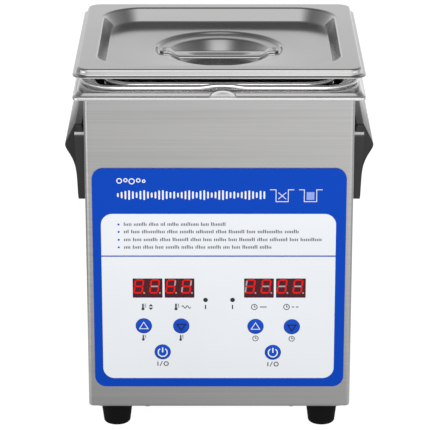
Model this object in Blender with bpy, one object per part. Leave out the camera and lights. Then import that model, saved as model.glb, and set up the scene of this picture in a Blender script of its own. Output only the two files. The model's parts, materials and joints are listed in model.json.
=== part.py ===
"""Digital bench-top ultrasonic cleaner, 2 litre class.

Frame: metres, +Z up, the control panel faces -Y. The origin is on the bench, midway
between the four feet. Dimensions are in millimetres and become metres in add_object().
Left is -X and right is +X, as seen from the front.
"""

import math

import bmesh
import bpy
from mathutils import Vector
from mathutils.geometry import tessellate_polygon

MM = 0.001

# ---------------------------------------------------------------- shared dimensions
GAP = 0.3  # clearance between pieces that touch or rest on each other
SHEET = 1.0  # housing, base plate and tank sheet

FOOT_X, FOOT_Y, FOOT_H = 64.5, 56.9, 15.4
PLATE_Z0 = FOOT_H + GAP
PLATE_Z1 = PLATE_Z0 + SHEET

HOUSING_HALF_X, HOUSING_HALF_Y = 81.37, 73.87
HOUSING_Z0, HOUSING_Z1 = PLATE_Z1 + GAP, 220.4
FRONT_Y, BACK_Y = -HOUSING_HALF_Y, HOUSING_HALF_Y

FLANGE_HALF_X, FLANGE_HALF_Y = 87.5, 80.0  # tank flange, outside
TANK_FLOOR_Z = 122.5

OVERLAY_T = 0.5
OVERLAY_BACK_Y = FRONT_Y - GAP
OVERLAY_FRONT_Y = OVERLAY_BACK_Y - OVERLAY_T

DISPLAY_W, DISPLAY_H, DISPLAY_Z = 17.8, 12.2, 96.45
DISPLAYS = {  # name: x
    "display_set_temp": -43.95,
    "display_actual_temp": -24.35,
    "display_minute": 24.40,
    "display_second": 43.95,
}
INDICATOR_Z, INDICATOR_R = 88.65, 1.3
INDICATORS = {"indicator_heater": -8.4, "indicator_ultrasonic": 8.2}  # name: x
BUTTON_R = 4.9
BUTTONS = {  # name: (x, z)
    "temp_up": (-46.5, 71.5),
    "temp_down": (-23.4, 71.4),
    "heater_power": (-35.0, 54.1),
    "time_up": (22.4, 71.1),
    "time_down": (44.8, 70.9),
    "ultrasonic_power": (33.2, 53.8),
}

BOARD_Y0, BOARD_T = -66.5, 1.6  # control board, upright behind the panel
PANEL_PART_BACK_Y = BOARD_Y0 - GAP  # back of the parts mounted on its front face

GENERATOR_Z, GENERATOR_T = 25.0, 1.6
GENERATOR_X0, GENERATOR_X1, GENERATOR_Y0, GENERATOR_Y1 = -55.0, 55.0, -38.0, 50.0
GENERATOR_HOLE_INSET = 6.0
GENERATOR_HOLES = [
    (x, y)
    for x in (GENERATOR_X0 + GENERATOR_HOLE_INSET, GENERATOR_X1 - GENERATOR_HOLE_INSET)
    for y in (GENERATOR_Y0 + GENERATOR_HOLE_INSET, GENERATOR_Y1 - GENERATOR_HOLE_INSET)
]
GENERATOR_PART_Z = GENERATOR_Z + GENERATOR_T + GAP  # underside of the parts on the board

INLET_X, INLET_Z0, INLET_Z1, INLET_HALF_X = 42.0, 30.0, 68.0, 13.4

# ---------------------------------------------------------------- scene and materials
for old in list(bpy.data.objects):
    bpy.data.objects.remove(old, do_unlink=True)


def material(name, colour, roughness, metallic=0.0):
    made = bpy.data.materials.new(name)
    made.use_nodes = True
    shader = made.node_tree.nodes["Principled BSDF"]
    shader.inputs["Base Color"].default_value = (*colour, 1.0)
    shader.inputs["Roughness"].default_value = roughness
    shader.inputs["Metallic"].default_value = metallic
    made.diffuse_color = (*colour, 1.0)
    return made


def metal(name, colour, roughness):
    return material(name, colour, roughness, metallic=1.0)


STEEL = metal("brushed_stainless", colour=(0.46, 0.44, 0.42), roughness=0.34)
POLISHED = metal("polished_stainless", colour=(0.56, 0.55, 0.53), roughness=0.18)
WIRE = metal("stainless_wire", colour=(0.58, 0.57, 0.56), roughness=0.22)
FILM = material("panel_film", colour=(0.86, 0.87, 0.90), roughness=0.35)
KEY = material("key_blue", colour=(0.01, 0.08, 0.55), roughness=0.35)
LED_WINDOW = material("display_dark_red", colour=(0.10, 0.015, 0.02), roughness=0.25)
LENS = material("indicator_lens", colour=(0.03, 0.02, 0.02), roughness=0.2)
BLACK = material("black_plastic", colour=(0.012, 0.012, 0.013), roughness=0.38)
RUBBER = material("black_rubber", colour=(0.010, 0.010, 0.010), roughness=0.75)
BOARD = material("circuit_board", colour=(0.02, 0.16, 0.06), roughness=0.5)
ALUMINIUM = metal("aluminium", colour=(0.70, 0.71, 0.72), roughness=0.38)
CERAMIC = material("piezo_ceramic", colour=(0.62, 0.58, 0.50), roughness=0.6)
BRASS = metal("brass", colour=(0.70, 0.50, 0.20), roughness=0.35)
ZINC = metal("zinc_plated_steel", colour=(0.55, 0.56, 0.57), roughness=0.35)
SILICONE = material("heater_silicone", colour=(0.45, 0.10, 0.05), roughness=0.7)
FERRITE = material("ferrite_and_tape", colour=(0.10, 0.09, 0.08), roughness=0.6)
SLEEVE = material("capacitor_sleeve", colour=(0.02, 0.04, 0.12), roughness=0.45)
CABLE = material("cable_insulation", colour=(0.45, 0.03, 0.03), roughness=0.5)
RIBBON = material("ribbon_cable", colour=(0.42, 0.43, 0.45), roughness=0.5)


# ---------------------------------------------------------------- objects
def add_object(name, shape, origin, look, smooth=35.0):
    """Puts a bmesh drawn in world millimetres into an object whose origin is at origin.

    Edges sharper than smooth, in degrees, stay sharp.
    """
    bmesh.ops.remove_doubles(shape, verts=shape.verts, dist=1e-5)
    bmesh.ops.recalc_face_normals(shape, faces=shape.faces)
    for vert in shape.verts:
        vert.co = (vert.co - Vector(origin)) * MM
    mesh = bpy.data.meshes.new(name)
    shape.to_mesh(mesh)
    shape.free()
    mesh.shade_smooth()
    mesh.set_sharp_from_angle(angle=math.radians(smooth))
    obj = bpy.data.objects.new(name, mesh)
    obj.location = Vector(origin) * MM
    bpy.context.scene.collection.objects.link(obj)
    if look is not None:
        mesh.materials.append(look)
    return obj


def boolean(obj, operation, name, shape, origin):
    """Cuts or joins a shape, which stays in the scene as a hidden helper."""
    other = add_object(name, shape, origin, None)
    other.hide_render = True
    other.display_type = "WIRE"
    modifier = obj.modifiers.new(operation.lower() + "_" + name, "BOOLEAN")
    modifier.operation = operation
    modifier.solver = "EXACT"
    modifier.object = other


def cut(obj, name, shape, origin):
    boolean(obj, "DIFFERENCE", name, shape, origin)


def unite(obj, name, shape, origin):
    boolean(obj, "UNION", name, shape, origin)


# ---------------------------------------------------------------- outlines
def rect_ring(half_x, half_y, radius, z, steps, centre=(0.0, 0.0)):
    """A rounded rectangle, counter-clockwise, with 4 * (steps + 1) points."""
    ring = []
    for quarter in range(4):
        corner_x = (half_x - radius) * (1 if quarter in (0, 3) else -1) + centre[0]
        corner_y = (half_y - radius) * (1 if quarter in (0, 1) else -1) + centre[1]
        for step in range(steps + 1):
            angle = math.radians(90 * quarter + 90 * step / steps)
            x = corner_x + radius * math.cos(angle)
            y = corner_y + radius * math.sin(angle)
            ring.append(Vector((x, y, z)))
    return ring


def round_ring(radius, z, steps=5):
    """A circle with as many points as a rect_ring of the same steps."""
    count = 4 * (steps + 1)
    angles = [2 * math.pi * (i + 0.5) / count for i in range(count)]
    return [Vector((radius * math.cos(a), radius * math.sin(a), z)) for a in angles]


def flat_ring(half_u, half_v, radius, centre, steps):
    """A rounded rectangle as 2-D points."""
    return [(p.x, p.y) for p in rect_ring(half_u, half_v, radius, 0.0, steps, centre)]


def flat_circle(radius, centre, steps):
    angles = [2 * math.pi * i / steps for i in range(steps)]
    return [
        (centre[0] + radius * math.cos(a), centre[1] + radius * math.sin(a)) for a in angles
    ]


# ---------------------------------------------------------------- solids
def place(point, level, axis):
    """A 2-D point at a level along an axis: (x, y) on Z, (x, z) on Y, (y, z) on X."""
    if axis == "Z":
        return Vector((point[0], point[1], level))
    if axis == "Y":
        return Vector((point[0], level, point[1]))
    return Vector((level, point[0], point[1]))


def loft(rings, closed=False):
    """Skins rings of equal point counts; the ends are capped, or joined if closed."""
    shape = bmesh.new()
    rows = [[shape.verts.new(point) for point in ring] for ring in rings]
    pairs = list(zip(rows, rows[1:])) + ([(rows[-1], rows[0])] if closed else [])
    for low, high in pairs:
        for i in range(len(low)):
            j = (i + 1) % len(low)
            shape.faces.new((low[i], low[j], high[j], high[i]))
    if not closed:
        shape.faces.new(list(reversed(rows[0])))
        shape.faces.new(rows[-1])
    return shape


def turned(profile, centre, steps, axis="Z", closed=False):
    """Turns a profile of (radius, level along the axis) about a 2-D centre."""
    rings = [
        [place(point, level, axis) for point in flat_circle(radius, centre, steps)]
        for radius, level in profile
    ]
    return loft(rings, closed)


def slab(outline, holes, low, high, axis="Z"):
    """A flat plate with holes: 2-D outlines, extruded from low to high along axis."""
    loops = [outline] + list(holes)
    flat = [[Vector((p[0], p[1], 0.0)) for p in loop] for loop in loops]
    shape = bmesh.new()
    points = [p for loop in loops for p in loop]
    lower = [shape.verts.new(place(p, low, axis)) for p in points]
    upper = [shape.verts.new(place(p, high, axis)) for p in points]
    for a, b, c in tessellate_polygon(flat):
        shape.faces.new((lower[c], lower[b], lower[a]))
        shape.faces.new((upper[a], upper[b], upper[c]))
    start = 0
    for loop in loops:
        count = len(loop)
        for k in range(count):
            i, j = start + k, start + (k + 1) % count
            shape.faces.new((lower[i], lower[j], upper[j], upper[i]))
        start += count
    return shape


def block(low, high):
    """A box between two corners."""
    shape = bmesh.new()
    bmesh.ops.create_cube(shape, size=1.0)
    for vert in shape.verts:
        vert.co = Vector([low[i] if vert.co[i] < 0 else high[i] for i in range(3)])
    return shape


def merged(parts):
    """Several shapes in one, for cutters and joined pieces."""
    whole = bmesh.new()
    for part in parts:
        mesh = bpy.data.meshes.new("join")
        part.to_mesh(mesh)
        part.free()
        whole.from_mesh(mesh)
        bpy.data.meshes.remove(mesh)
    return whole


def wire(points, radius, sides):
    """A round wire along a path, with flat ends."""
    points = [Vector(p) for p in points]
    last = len(points) - 1
    tangents = [
        (points[min(i + 1, last)] - points[max(i - 1, 0)]).normalized()
        for i in range(len(points))
    ]
    normal = tangents[0].orthogonal().normalized()
    rings = []
    for i, point in enumerate(points):
        if i:
            turn = tangents[i - 1].rotation_difference(tangents[i])
            normal = (turn @ normal).normalized()
        side = tangents[i].cross(normal).normalized()
        stretch = 1.0
        if 0 < i < last:
            # Widen the ring across the bend, so the wire keeps its thickness there.
            arriving = (point - points[i - 1]).normalized()
            leaving = (points[i + 1] - point).normalized()
            stretch = 1.0 / max(math.cos(arriving.angle(leaving) / 2), 0.5)
            across = (leaving - arriving).normalized()
        ring = []
        for k in range(sides):
            angle = 2 * math.pi * k / sides
            offset = (normal * math.cos(angle) + side * math.sin(angle)) * radius
            if stretch > 1.001:
                offset += across * offset.dot(across) * (stretch - 1.0)
            ring.append(point + offset)
        rings.append(ring)
    return loft(rings)


# ---------------------------------------------------------------- housing
HOUSING_R = 3.0  # outside radius of the vertical bends
RETURN_FLANGE = 12.0  # inward fold at the foot of the housing
FOOT_BEND = 1.2  # bevel between the walls and that fold
FOLD_EDGE_R = 1.0
PANEL_CUT_REACH, INLET_CUT_REACH = 3.0, 4.0  # cutter, either side of the wall
DISPLAY_OPENINGS = ((-53.3, -14.95), (15.0, 53.35))  # x from, x to; one per pair
DISPLAY_OPENING_MARGIN = 0.4  # above and below the displays
INDICATOR_OPENING_R, BUTTON_OPENING_R = 1.7, 5.3


def housing_ring(inset, radius, z):
    return rect_ring(HOUSING_HALF_X - inset, HOUSING_HALF_Y - inset, radius, z, 3)


def panel_openings():
    y_range = (FRONT_Y - PANEL_CUT_REACH, FRONT_Y + PANEL_CUT_REACH)
    half_z = DISPLAY_H / 2 + DISPLAY_OPENING_MARGIN
    cutters = [
        block((x0, y_range[0], DISPLAY_Z - half_z), (x1, y_range[1], DISPLAY_Z + half_z))
        for x0, x1 in DISPLAY_OPENINGS
    ]
    holes = [(INDICATOR_OPENING_R, (x, INDICATOR_Z), 12) for x in INDICATORS.values()]
    holes += [(BUTTON_OPENING_R, centre, 20) for centre in BUTTONS.values()]
    for radius, centre, steps in holes:
        cutters.append(turned([(radius, y) for y in y_range], centre, steps, "Y"))
    return merged(cutters)


def build_housing():
    rings = [
        housing_ring(RETURN_FLANGE, FOLD_EDGE_R, HOUSING_Z0),
        housing_ring(FOOT_BEND, HOUSING_R - 1.0, HOUSING_Z0),
        housing_ring(0.0, HOUSING_R, HOUSING_Z0 + FOOT_BEND),
        housing_ring(0.0, HOUSING_R, HOUSING_Z1),
        housing_ring(SHEET, HOUSING_R - SHEET, HOUSING_Z1),
        housing_ring(SHEET, HOUSING_R - SHEET, HOUSING_Z0 + SHEET),
        housing_ring(RETURN_FLANGE, FOLD_EDGE_R, HOUSING_Z0 + SHEET),
    ]
    origin = (0, 0, 0)
    housing = add_object("housing_shell", loft(rings, closed=True), origin, STEEL)
    cut(housing, "cut_panel_openings", panel_openings(), origin)
    inlet_cutter = block(
        (INLET_X - INLET_HALF_X - GAP, BACK_Y - INLET_CUT_REACH, INLET_Z0 - GAP),
        (INLET_X + INLET_HALF_X + GAP, BACK_Y + INLET_CUT_REACH, INLET_Z1 + GAP),
    )
    cut(housing, "cut_inlet_opening", inlet_cutter, origin)


# ---------------------------------------------------------------- base plate
PLATE_HALF_X, PLATE_HALF_Y, PLATE_R = 78.0, 70.5, 4.0
SLOT_HALF_X, SLOT_HALF_Y, SLOT_R = 1.6, 13.0, 1.2
SLOT_COLUMNS, SLOT_PITCH, SLOT_ROW_Y = 7, 10.0, 24.0
FOOT_HOLE_R = 2.4
BOSS_R, BOSS_TOP_R = 5.0, 3.5


def build_base_plate():
    """Vent slots, foot screw holes and four formed bosses for the generator board."""
    first_x = -SLOT_PITCH * (SLOT_COLUMNS - 1) / 2
    slots = [
        flat_ring(
            SLOT_HALF_X, SLOT_HALF_Y, SLOT_R, (first_x + SLOT_PITCH * i, row * SLOT_ROW_Y), 2
        )
        for row in (-1, 1)
        for i in range(SLOT_COLUMNS)
    ]
    foot_holes = [
        flat_circle(FOOT_HOLE_R, (side_x * FOOT_X, side_y * FOOT_Y), 12)
        for side_x in (-1, 1)
        for side_y in (-1, 1)
    ]
    outline = flat_ring(PLATE_HALF_X, PLATE_HALF_Y, PLATE_R, (0, 0), 3)
    origin = (0, 0, 0)
    plate = add_object(
        "base_plate", slab(outline, slots + foot_holes, PLATE_Z0, PLATE_Z1), origin, ZINC
    )
    boss_profile = [
        (BOSS_R, PLATE_Z0 + 0.5),
        (BOSS_R, PLATE_Z1),
        (BOSS_TOP_R, GENERATOR_Z - GAP),
    ]
    bosses = merged(turned(boss_profile, hole, 12) for hole in GENERATOR_HOLES)
    unite(plate, "join_board_bosses", bosses, origin)


# ---------------------------------------------------------------- tank
LIP_Z0, CREASE_Z, FLANGE_Z = 217.8, 220.65, 222.5
MOUTH_HALF_X, MOUTH_HALF_Y, MOUTH_R = 75.0, 67.5, 20.0
TANK_FOOT_R = 12.0  # bend between the walls and the floor


def mouth_ring(offset, radius, z):
    """A ring at a distance outside (+) or inside (-) the tank mouth."""
    return rect_ring(MOUTH_HALF_X + offset, MOUTH_HALF_Y + offset, radius, z, 5)


def flange_ring(inset, radius, z):
    return rect_ring(FLANGE_HALF_X - inset, FLANGE_HALF_Y - inset, radius, z, 5)


def build_tank():
    bend, floor = TANK_FOOT_R, TANK_FLOOR_Z
    # Underside: from the floor up the walls, out under the flange, down inside the lip.
    outside = [
        mouth_ring(-bend, MOUTH_R - bend * 0.6, floor - SHEET),
        mouth_ring(-bend * 0.45, MOUTH_R - bend * 0.3, floor + bend * 0.05),
        mouth_ring(0.5 - bend * 0.09, MOUTH_R, floor + bend * 0.45),
        mouth_ring(0.6, MOUTH_R + 1.0, floor + bend),
        mouth_ring(1.0, MOUTH_R + 1.0, FLANGE_Z - 1.5),
        mouth_ring(1.9, MOUTH_R, FLANGE_Z - 1.0),
        flange_ring(7.2, 12.6, 221.35),
        flange_ring(3.8, 8.0, 220.7),
        flange_ring(1.5, 5.0, CREASE_Z - 1.0),
        flange_ring(1.0, 5.0, CREASE_Z - 1.4),
        flange_ring(1.0, 5.0, LIP_Z0),
    ]
    # Upper side: up the lip, in over the flange, down the walls to the floor.
    inside = [
        flange_ring(0.0, 6.0, LIP_Z0),
        flange_ring(0.0, 6.0, CREASE_Z - 0.9),
        flange_ring(0.6, 5.6, CREASE_Z - 0.1),
        flange_ring(3.4, 8.5, 221.65),
        flange_ring(7.0, 13.0, 222.35),
        mouth_ring(1.3, MOUTH_R, FLANGE_Z),
        mouth_ring(0.4, MOUTH_R, FLANGE_Z - 0.35),
        mouth_ring(0.0, MOUTH_R, FLANGE_Z - 1.2),
        mouth_ring(-0.4, MOUTH_R, floor + bend),
        mouth_ring(-0.4 - bend * 0.134, MOUTH_R - bend * 0.1, floor + bend * 0.5),
        mouth_ring(-0.4 - bend * 0.5, MOUTH_R - bend * 0.35, floor + bend * 0.134),
        mouth_ring(-0.4 - bend, MOUTH_R - bend * 0.6, floor),
    ]
    add_object("tank", loft(outside + inside), (0, 0, 0), POLISHED)


# ---------------------------------------------------------------- control panel
OVERLAY_HALF_X, OVERLAY_Z0, OVERLAY_Z1, OVERLAY_R = 77.1, 30.8, 173.7, 7.0
OVERLAY_INDICATOR_R = 1.6
OVERLAY_BUTTON_CLEARANCE = 0.25
DISPLAY_RECESS = 0.2
BUTTON_SHOULDER_Y = FRONT_Y + 1.3  # back of the cap, where the stem starts
BUTTON_STEM_R, BUTTON_STEM_BACK_Y = 1.7, -71.3
SWITCH_FRONT_Y, SWITCH_HALF = -70.0, 3.0
PLUNGER_R, PLUNGER_Y0, PLUNGER_Y1 = 1.6, -70.6, -69.0


def build_overlay():
    holes = [
        flat_ring(DISPLAY_W / 2 + GAP, DISPLAY_H / 2 + GAP, 0.4, (x, DISPLAY_Z), 1)
        for x in DISPLAYS.values()
    ]
    for x in INDICATORS.values():
        holes.append(flat_circle(OVERLAY_INDICATOR_R, (x, INDICATOR_Z), 12))
    for centre in BUTTONS.values():
        holes.append(flat_circle(BUTTON_R + OVERLAY_BUTTON_CLEARANCE, centre, 24))
    middle_z = (OVERLAY_Z1 + OVERLAY_Z0) / 2
    half_z = (OVERLAY_Z1 - OVERLAY_Z0) / 2
    outline = flat_ring(OVERLAY_HALF_X, half_z, OVERLAY_R, (0, middle_z), 5)
    add_object(
        "control_overlay",
        slab(outline, holes, OVERLAY_FRONT_Y, OVERLAY_BACK_Y, "Y"),
        (0, OVERLAY_FRONT_Y, middle_z),
        FILM,
    )


def build_display(name, x):
    half_x, half_z = DISPLAY_W / 2, DISPLAY_H / 2
    shape = block(
        (x - half_x, OVERLAY_FRONT_Y + DISPLAY_RECESS, DISPLAY_Z - half_z),
        (x + half_x, PANEL_PART_BACK_Y, DISPLAY_Z + half_z),
    )
    add_object(name, shape, (x, OVERLAY_FRONT_Y, DISPLAY_Z), LED_WINDOW)


def build_indicator(name, x):
    profile = [
        (0.5, OVERLAY_FRONT_Y - 0.4),
        (1.0, OVERLAY_FRONT_Y - 0.15),
        (INDICATOR_R, OVERLAY_FRONT_Y + 0.4),
        (INDICATOR_R, PANEL_PART_BACK_Y),
    ]
    shape = turned(profile, (x, INDICATOR_Z), 12, "Y")
    add_object(name, shape, (x, OVERLAY_FRONT_Y, INDICATOR_Z), LENS)


def build_button(name, x, z):
    profile = [
        (BUTTON_R - 1.0, OVERLAY_FRONT_Y - 0.45),
        (BUTTON_R - 0.25, OVERLAY_FRONT_Y - 0.35),
        (BUTTON_R, OVERLAY_FRONT_Y - 0.1),
        (BUTTON_R, BUTTON_SHOULDER_Y),
        (BUTTON_STEM_R, BUTTON_SHOULDER_Y),
        (BUTTON_STEM_R, BUTTON_STEM_BACK_Y),
    ]
    shape = turned(profile, (x, z), 24, "Y")
    add_object("button_" + name, shape, (x, OVERLAY_FRONT_Y, z), KEY, smooth=50.0)


def build_switch(name, x, z):
    """The switch behind a button, with a round plunger towards its stem."""
    body = block(
        (x - SWITCH_HALF, SWITCH_FRONT_Y, z - SWITCH_HALF),
        (x + SWITCH_HALF, PANEL_PART_BACK_Y, z + SWITCH_HALF),
    )
    origin = (x, SWITCH_FRONT_Y, z)
    switch = add_object("switch_" + name, body, origin, BLACK)
    plunger = turned([(PLUNGER_R, PLUNGER_Y0), (PLUNGER_R, PLUNGER_Y1)], (x, z), 12, "Y")
    unite(switch, "join_plunger_" + name, plunger, origin)


def build_control_panel():
    build_overlay()
    for name, x in DISPLAYS.items():
        build_display(name, x)
    for name, x in INDICATORS.items():
        build_indicator(name, x)
    for name, (x, z) in BUTTONS.items():
        build_button(name, x, z)
        build_switch(name, x, z)


# ---------------------------------------------------------------- control board
BOARD_HALF_X, BOARD_Z0, BOARD_Z1, BOARD_CORNER_R = 61.0, 44.0, 108.0, 2.0
BOARD_HOLE_INSET = 4.0
BOARD_HOLE_R = 1.7  # in both boards
STUD_COLLAR_R, STUD_THREAD_R, STUD_PROJECTION = 2.9, 1.3, 3.0


def board_holes():
    """Hole centres (x, z), counter-clockwise from the lower left."""
    x = BOARD_HALF_X - BOARD_HOLE_INSET
    low, high = BOARD_Z0 + BOARD_HOLE_INSET, BOARD_Z1 - BOARD_HOLE_INSET
    return [(-x, low), (x, low), (x, high), (-x, high)]


def build_control_board():
    middle_z = (BOARD_Z1 + BOARD_Z0) / 2
    half_z = (BOARD_Z1 - BOARD_Z0) / 2
    outline = flat_ring(BOARD_HALF_X, half_z, BOARD_CORNER_R, (0, middle_z), 2)
    holes = [flat_circle(BOARD_HOLE_R, hole, 12) for hole in board_holes()]
    shape = slab(outline, holes, BOARD_Y0, BOARD_Y0 + BOARD_T, "Y")
    add_object("control_board", shape, (0, BOARD_Y0, middle_z), BOARD)


def build_board_studs():
    """Hexagonal studs: the collar spaces the board, the thread passes through it."""
    profile = [
        (STUD_COLLAR_R, FRONT_Y + SHEET + GAP),
        (STUD_COLLAR_R, PANEL_PART_BACK_Y),
        (STUD_THREAD_R, PANEL_PART_BACK_Y),
        (STUD_THREAD_R, BOARD_Y0 + BOARD_T + STUD_PROJECTION),
    ]
    for number, (x, z) in enumerate(board_holes(), start=1):
        shape = turned(profile, (x, z), 6, "Y")
        origin = (x, FRONT_Y + SHEET, z)
        add_object("board_stud_%d" % number, shape, origin, ZINC, smooth=20.0)


# ---------------------------------------------------------------- transducer stack
# It hangs under the tank floor; each Z is the top of its piece.
FRONT_MASS_H, PIEZO_T, ELECTRODE_T, BACK_MASS_H, BOLT_HEAD_H = 26.0, 5.0, 0.5, 20.0, 6.0
UNDER_TANK_Z = TANK_FLOOR_Z - SHEET - GAP
UPPER_PIEZO_Z = UNDER_TANK_Z - FRONT_MASS_H - GAP
ELECTRODE_Z = UPPER_PIEZO_Z - (PIEZO_T + GAP)
LOWER_PIEZO_Z = ELECTRODE_Z - (ELECTRODE_T + GAP)
BACK_MASS_Z = LOWER_PIEZO_Z - (PIEZO_T + GAP)
BOLT_HEAD_Z = BACK_MASS_Z - (BACK_MASS_H + GAP)
STACK_R, PIEZO_BORE_R, BACK_MASS_BORE_R = 17.5, 6.5, 4.4
FRONT_MASS_R, FRONT_MASS_BORE_R = 22.5, 4.2
BOLT_HEAD_R, BOLT_R, BOLT_TIP_DEPTH = 6.5, 3.7, 16.5
TAB_X0, TAB_X1, TAB_HALF_Y = 16.0, 23.0, 2.5


def build_front_mass():
    """A flared block; its blind bore narrows to a thin channel through the top."""
    top = UNDER_TANK_Z
    profile = [
        (FRONT_MASS_BORE_R, top - FRONT_MASS_H),
        (STACK_R, top - FRONT_MASS_H),
        (19.0, top - 20.0),
        (FRONT_MASS_R, top - 7.0),
        (FRONT_MASS_R, top),
        (0.3, top),
        (0.3, top - 14.0),
        (FRONT_MASS_BORE_R, top - 15.0),
    ]
    shape = turned(profile, (0, 0), 20, closed=True)
    add_object("transducer_front_mass", shape, (0, 0, top), ALUMINIUM)


def build_stack_ring(name, bore, top, height, look):
    low = top - height
    profile = [(bore, low), (STACK_R, low), (STACK_R, top), (bore, top)]
    return add_object(name, turned(profile, (0, 0), 20, closed=True), (0, 0, top), look)


def build_transducer():
    build_front_mass()
    build_stack_ring("piezo_ring_upper", PIEZO_BORE_R, UPPER_PIEZO_Z, PIEZO_T, CERAMIC)
    electrode = build_stack_ring(
        "transducer_electrode", PIEZO_BORE_R, ELECTRODE_Z, ELECTRODE_T, BRASS
    )
    tab = block(
        (TAB_X0, -TAB_HALF_Y, ELECTRODE_Z - ELECTRODE_T), (TAB_X1, TAB_HALF_Y, ELECTRODE_Z)
    )
    unite(electrode, "join_electrode_tab", tab, (0, 0, ELECTRODE_Z))
    build_stack_ring("piezo_ring_lower", PIEZO_BORE_R, LOWER_PIEZO_Z, PIEZO_T, CERAMIC)
    build_stack_ring(
        "transducer_back_mass", BACK_MASS_BORE_R, BACK_MASS_Z, BACK_MASS_H, ZINC
    )
    bolt_profile = [
        (BOLT_HEAD_R, BOLT_HEAD_Z - BOLT_HEAD_H),
        (BOLT_HEAD_R, BOLT_HEAD_Z),
        (BOLT_R, BOLT_HEAD_Z),
        (BOLT_R, UNDER_TANK_Z - BOLT_TIP_DEPTH),
    ]
    bolt = turned(bolt_profile, (0, 0), 12)
    add_object("transducer_bolt", bolt, (0, 0, BOLT_HEAD_Z), ZINC)


# ---------------------------------------------------------------- heater and sensor
HEATER_HALF_X, HEATER_HALF_Y, HEATER_R = 59.0, 52.0, 10.0
HEATER_HOLE_R, HEATER_T = 25.0, 1.5
SENSOR_ORIGIN = (-30.0, 68.9, 148.0)
SENSOR_PLATE = ((-34.0, 68.9, 140.0), (-26.0, 70.1, 156.0))  # opposite corners
SENSOR_BEAD = ((-32.0, 69.8, 142.0), (-28.0, 72.2, 150.0))


def build_heater_pad():
    """Bonded under the tank floor, round the transducer."""
    top = UNDER_TANK_Z
    outline = flat_ring(HEATER_HALF_X, HEATER_HALF_Y, HEATER_R, (0, 0), 3)
    hole = flat_circle(HEATER_HOLE_R, (0, 0), 24)
    add_object("heater_pad", slab(outline, [hole], top - HEATER_T, top), (0, 0, top), SILICONE)


def build_temperature_sensor():
    """A plate at the rear wall of the tank, with a bead on its back."""
    sensor = add_object("temperature_sensor", block(*SENSOR_PLATE), SENSOR_ORIGIN, ZINC)
    unite(sensor, "join_sensor_bead", block(*SENSOR_BEAD), SENSOR_ORIGIN)


# ---------------------------------------------------------------- ultrasonic generator
SINK_X0, SINK_X1, SINK_Y0, SINK_Y1 = -48.0, 4.0, 22.0, 42.0
SINK_BASE_T, SINK_H, FIN_COUNT, FIN_PITCH, FIN_T = 3.0, 24.0, 5, 4.0, 1.6
TRANSFORMER_X, TRANSFORMER_Y = 23.0, 31.0
TRANSFORMER_HALF, TRANSFORMER_H, TRANSFORMER_BEVEL = 11.0, 22.0, 1.2
WINDING_R, WINDING_LOW, WINDING_HIGH = 13.0, 5.0, 17.0
CAPACITOR_X, CAPACITOR_Y = -42.0, -18.0
CAPACITOR_PROFILE = [(6.0, 0.0), (6.5, 0.8), (6.5, 22.0), (6.0, 23.0)]  # radius, height


def build_generator_board():
    outline = [
        (GENERATOR_X0, GENERATOR_Y0),
        (GENERATOR_X1, GENERATOR_Y0),
        (GENERATOR_X1, GENERATOR_Y1),
        (GENERATOR_X0, GENERATOR_Y1),
    ]
    holes = [flat_circle(BOARD_HOLE_R, hole, 12) for hole in GENERATOR_HOLES]
    shape = slab(outline, holes, GENERATOR_Z, GENERATOR_Z + GENERATOR_T)
    add_object("generator_board", shape, (0, 0, GENERATOR_Z), BOARD)


def build_heat_sink():
    """A comb in Y and Z: a base with upright fins, extruded along X."""
    low, high = GENERATOR_PART_Z, GENERATOR_PART_Z + SINK_H
    base_top = low + SINK_BASE_T
    comb = [(SINK_Y0, low), (SINK_Y1, low), (SINK_Y1, base_top)]
    for i in range(FIN_COUNT):
        y = SINK_Y1 - FIN_PITCH * i
        comb += [(y, high), (y - FIN_T, high), (y - FIN_T, base_top)]
        if i < FIN_COUNT - 1:
            comb.append((y - FIN_PITCH, base_top))
    comb.append((SINK_Y0, base_top))
    origin = ((SINK_X0 + SINK_X1) / 2, (SINK_Y0 + SINK_Y1) / 2, low)
    add_object("heat_sink", slab(comb, [], SINK_X0, SINK_X1, "X"), origin, ALUMINIUM)


def build_transformer():
    x, y, low, half = TRANSFORMER_X, TRANSFORMER_Y, GENERATOR_PART_Z, TRANSFORMER_HALF
    core = block((x - half, y - half, low), (x + half, y + half, low + TRANSFORMER_H))
    origin = (x, y, GENERATOR_Z + GENERATOR_T)
    transformer = add_object("output_transformer", core, origin, FERRITE)
    bevel = transformer.modifiers.new("rounded_edges", "BEVEL")
    bevel.width = TRANSFORMER_BEVEL * MM
    bevel.segments = 1
    winding = turned(
        [(WINDING_R, low + WINDING_LOW), (WINDING_R, low + WINDING_HIGH)], (x, y), 20
    )
    unite(transformer, "join_transformer_winding", winding, origin)


def build_capacitor():
    centre = (CAPACITOR_X, CAPACITOR_Y)
    profile = [(radius, GENERATOR_PART_Z + height) for radius, height in CAPACITOR_PROFILE]
    origin = (*centre, GENERATOR_Z + GENERATOR_T)
    add_object("bus_capacitor", turned(profile, centre, 16), origin, SLEEVE)


# ---------------------------------------------------------------- mains inlet, at the back
INLET_Y0, INLET_Y1 = 52.5, 76.0
INLET_MIDDLE_Z = (INLET_Z0 + INLET_Z1) / 2
BEZEL_HALF_X, BEZEL_HALF_Z, BEZEL_R, BEZEL_DEPTH = 15.6, 21.5, 2.0, 3.2
SOCKET_Z = INLET_Z0 + 11.5
SOCKET_Y0, CAVITY_Y1 = 60.0, 80.0
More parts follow.
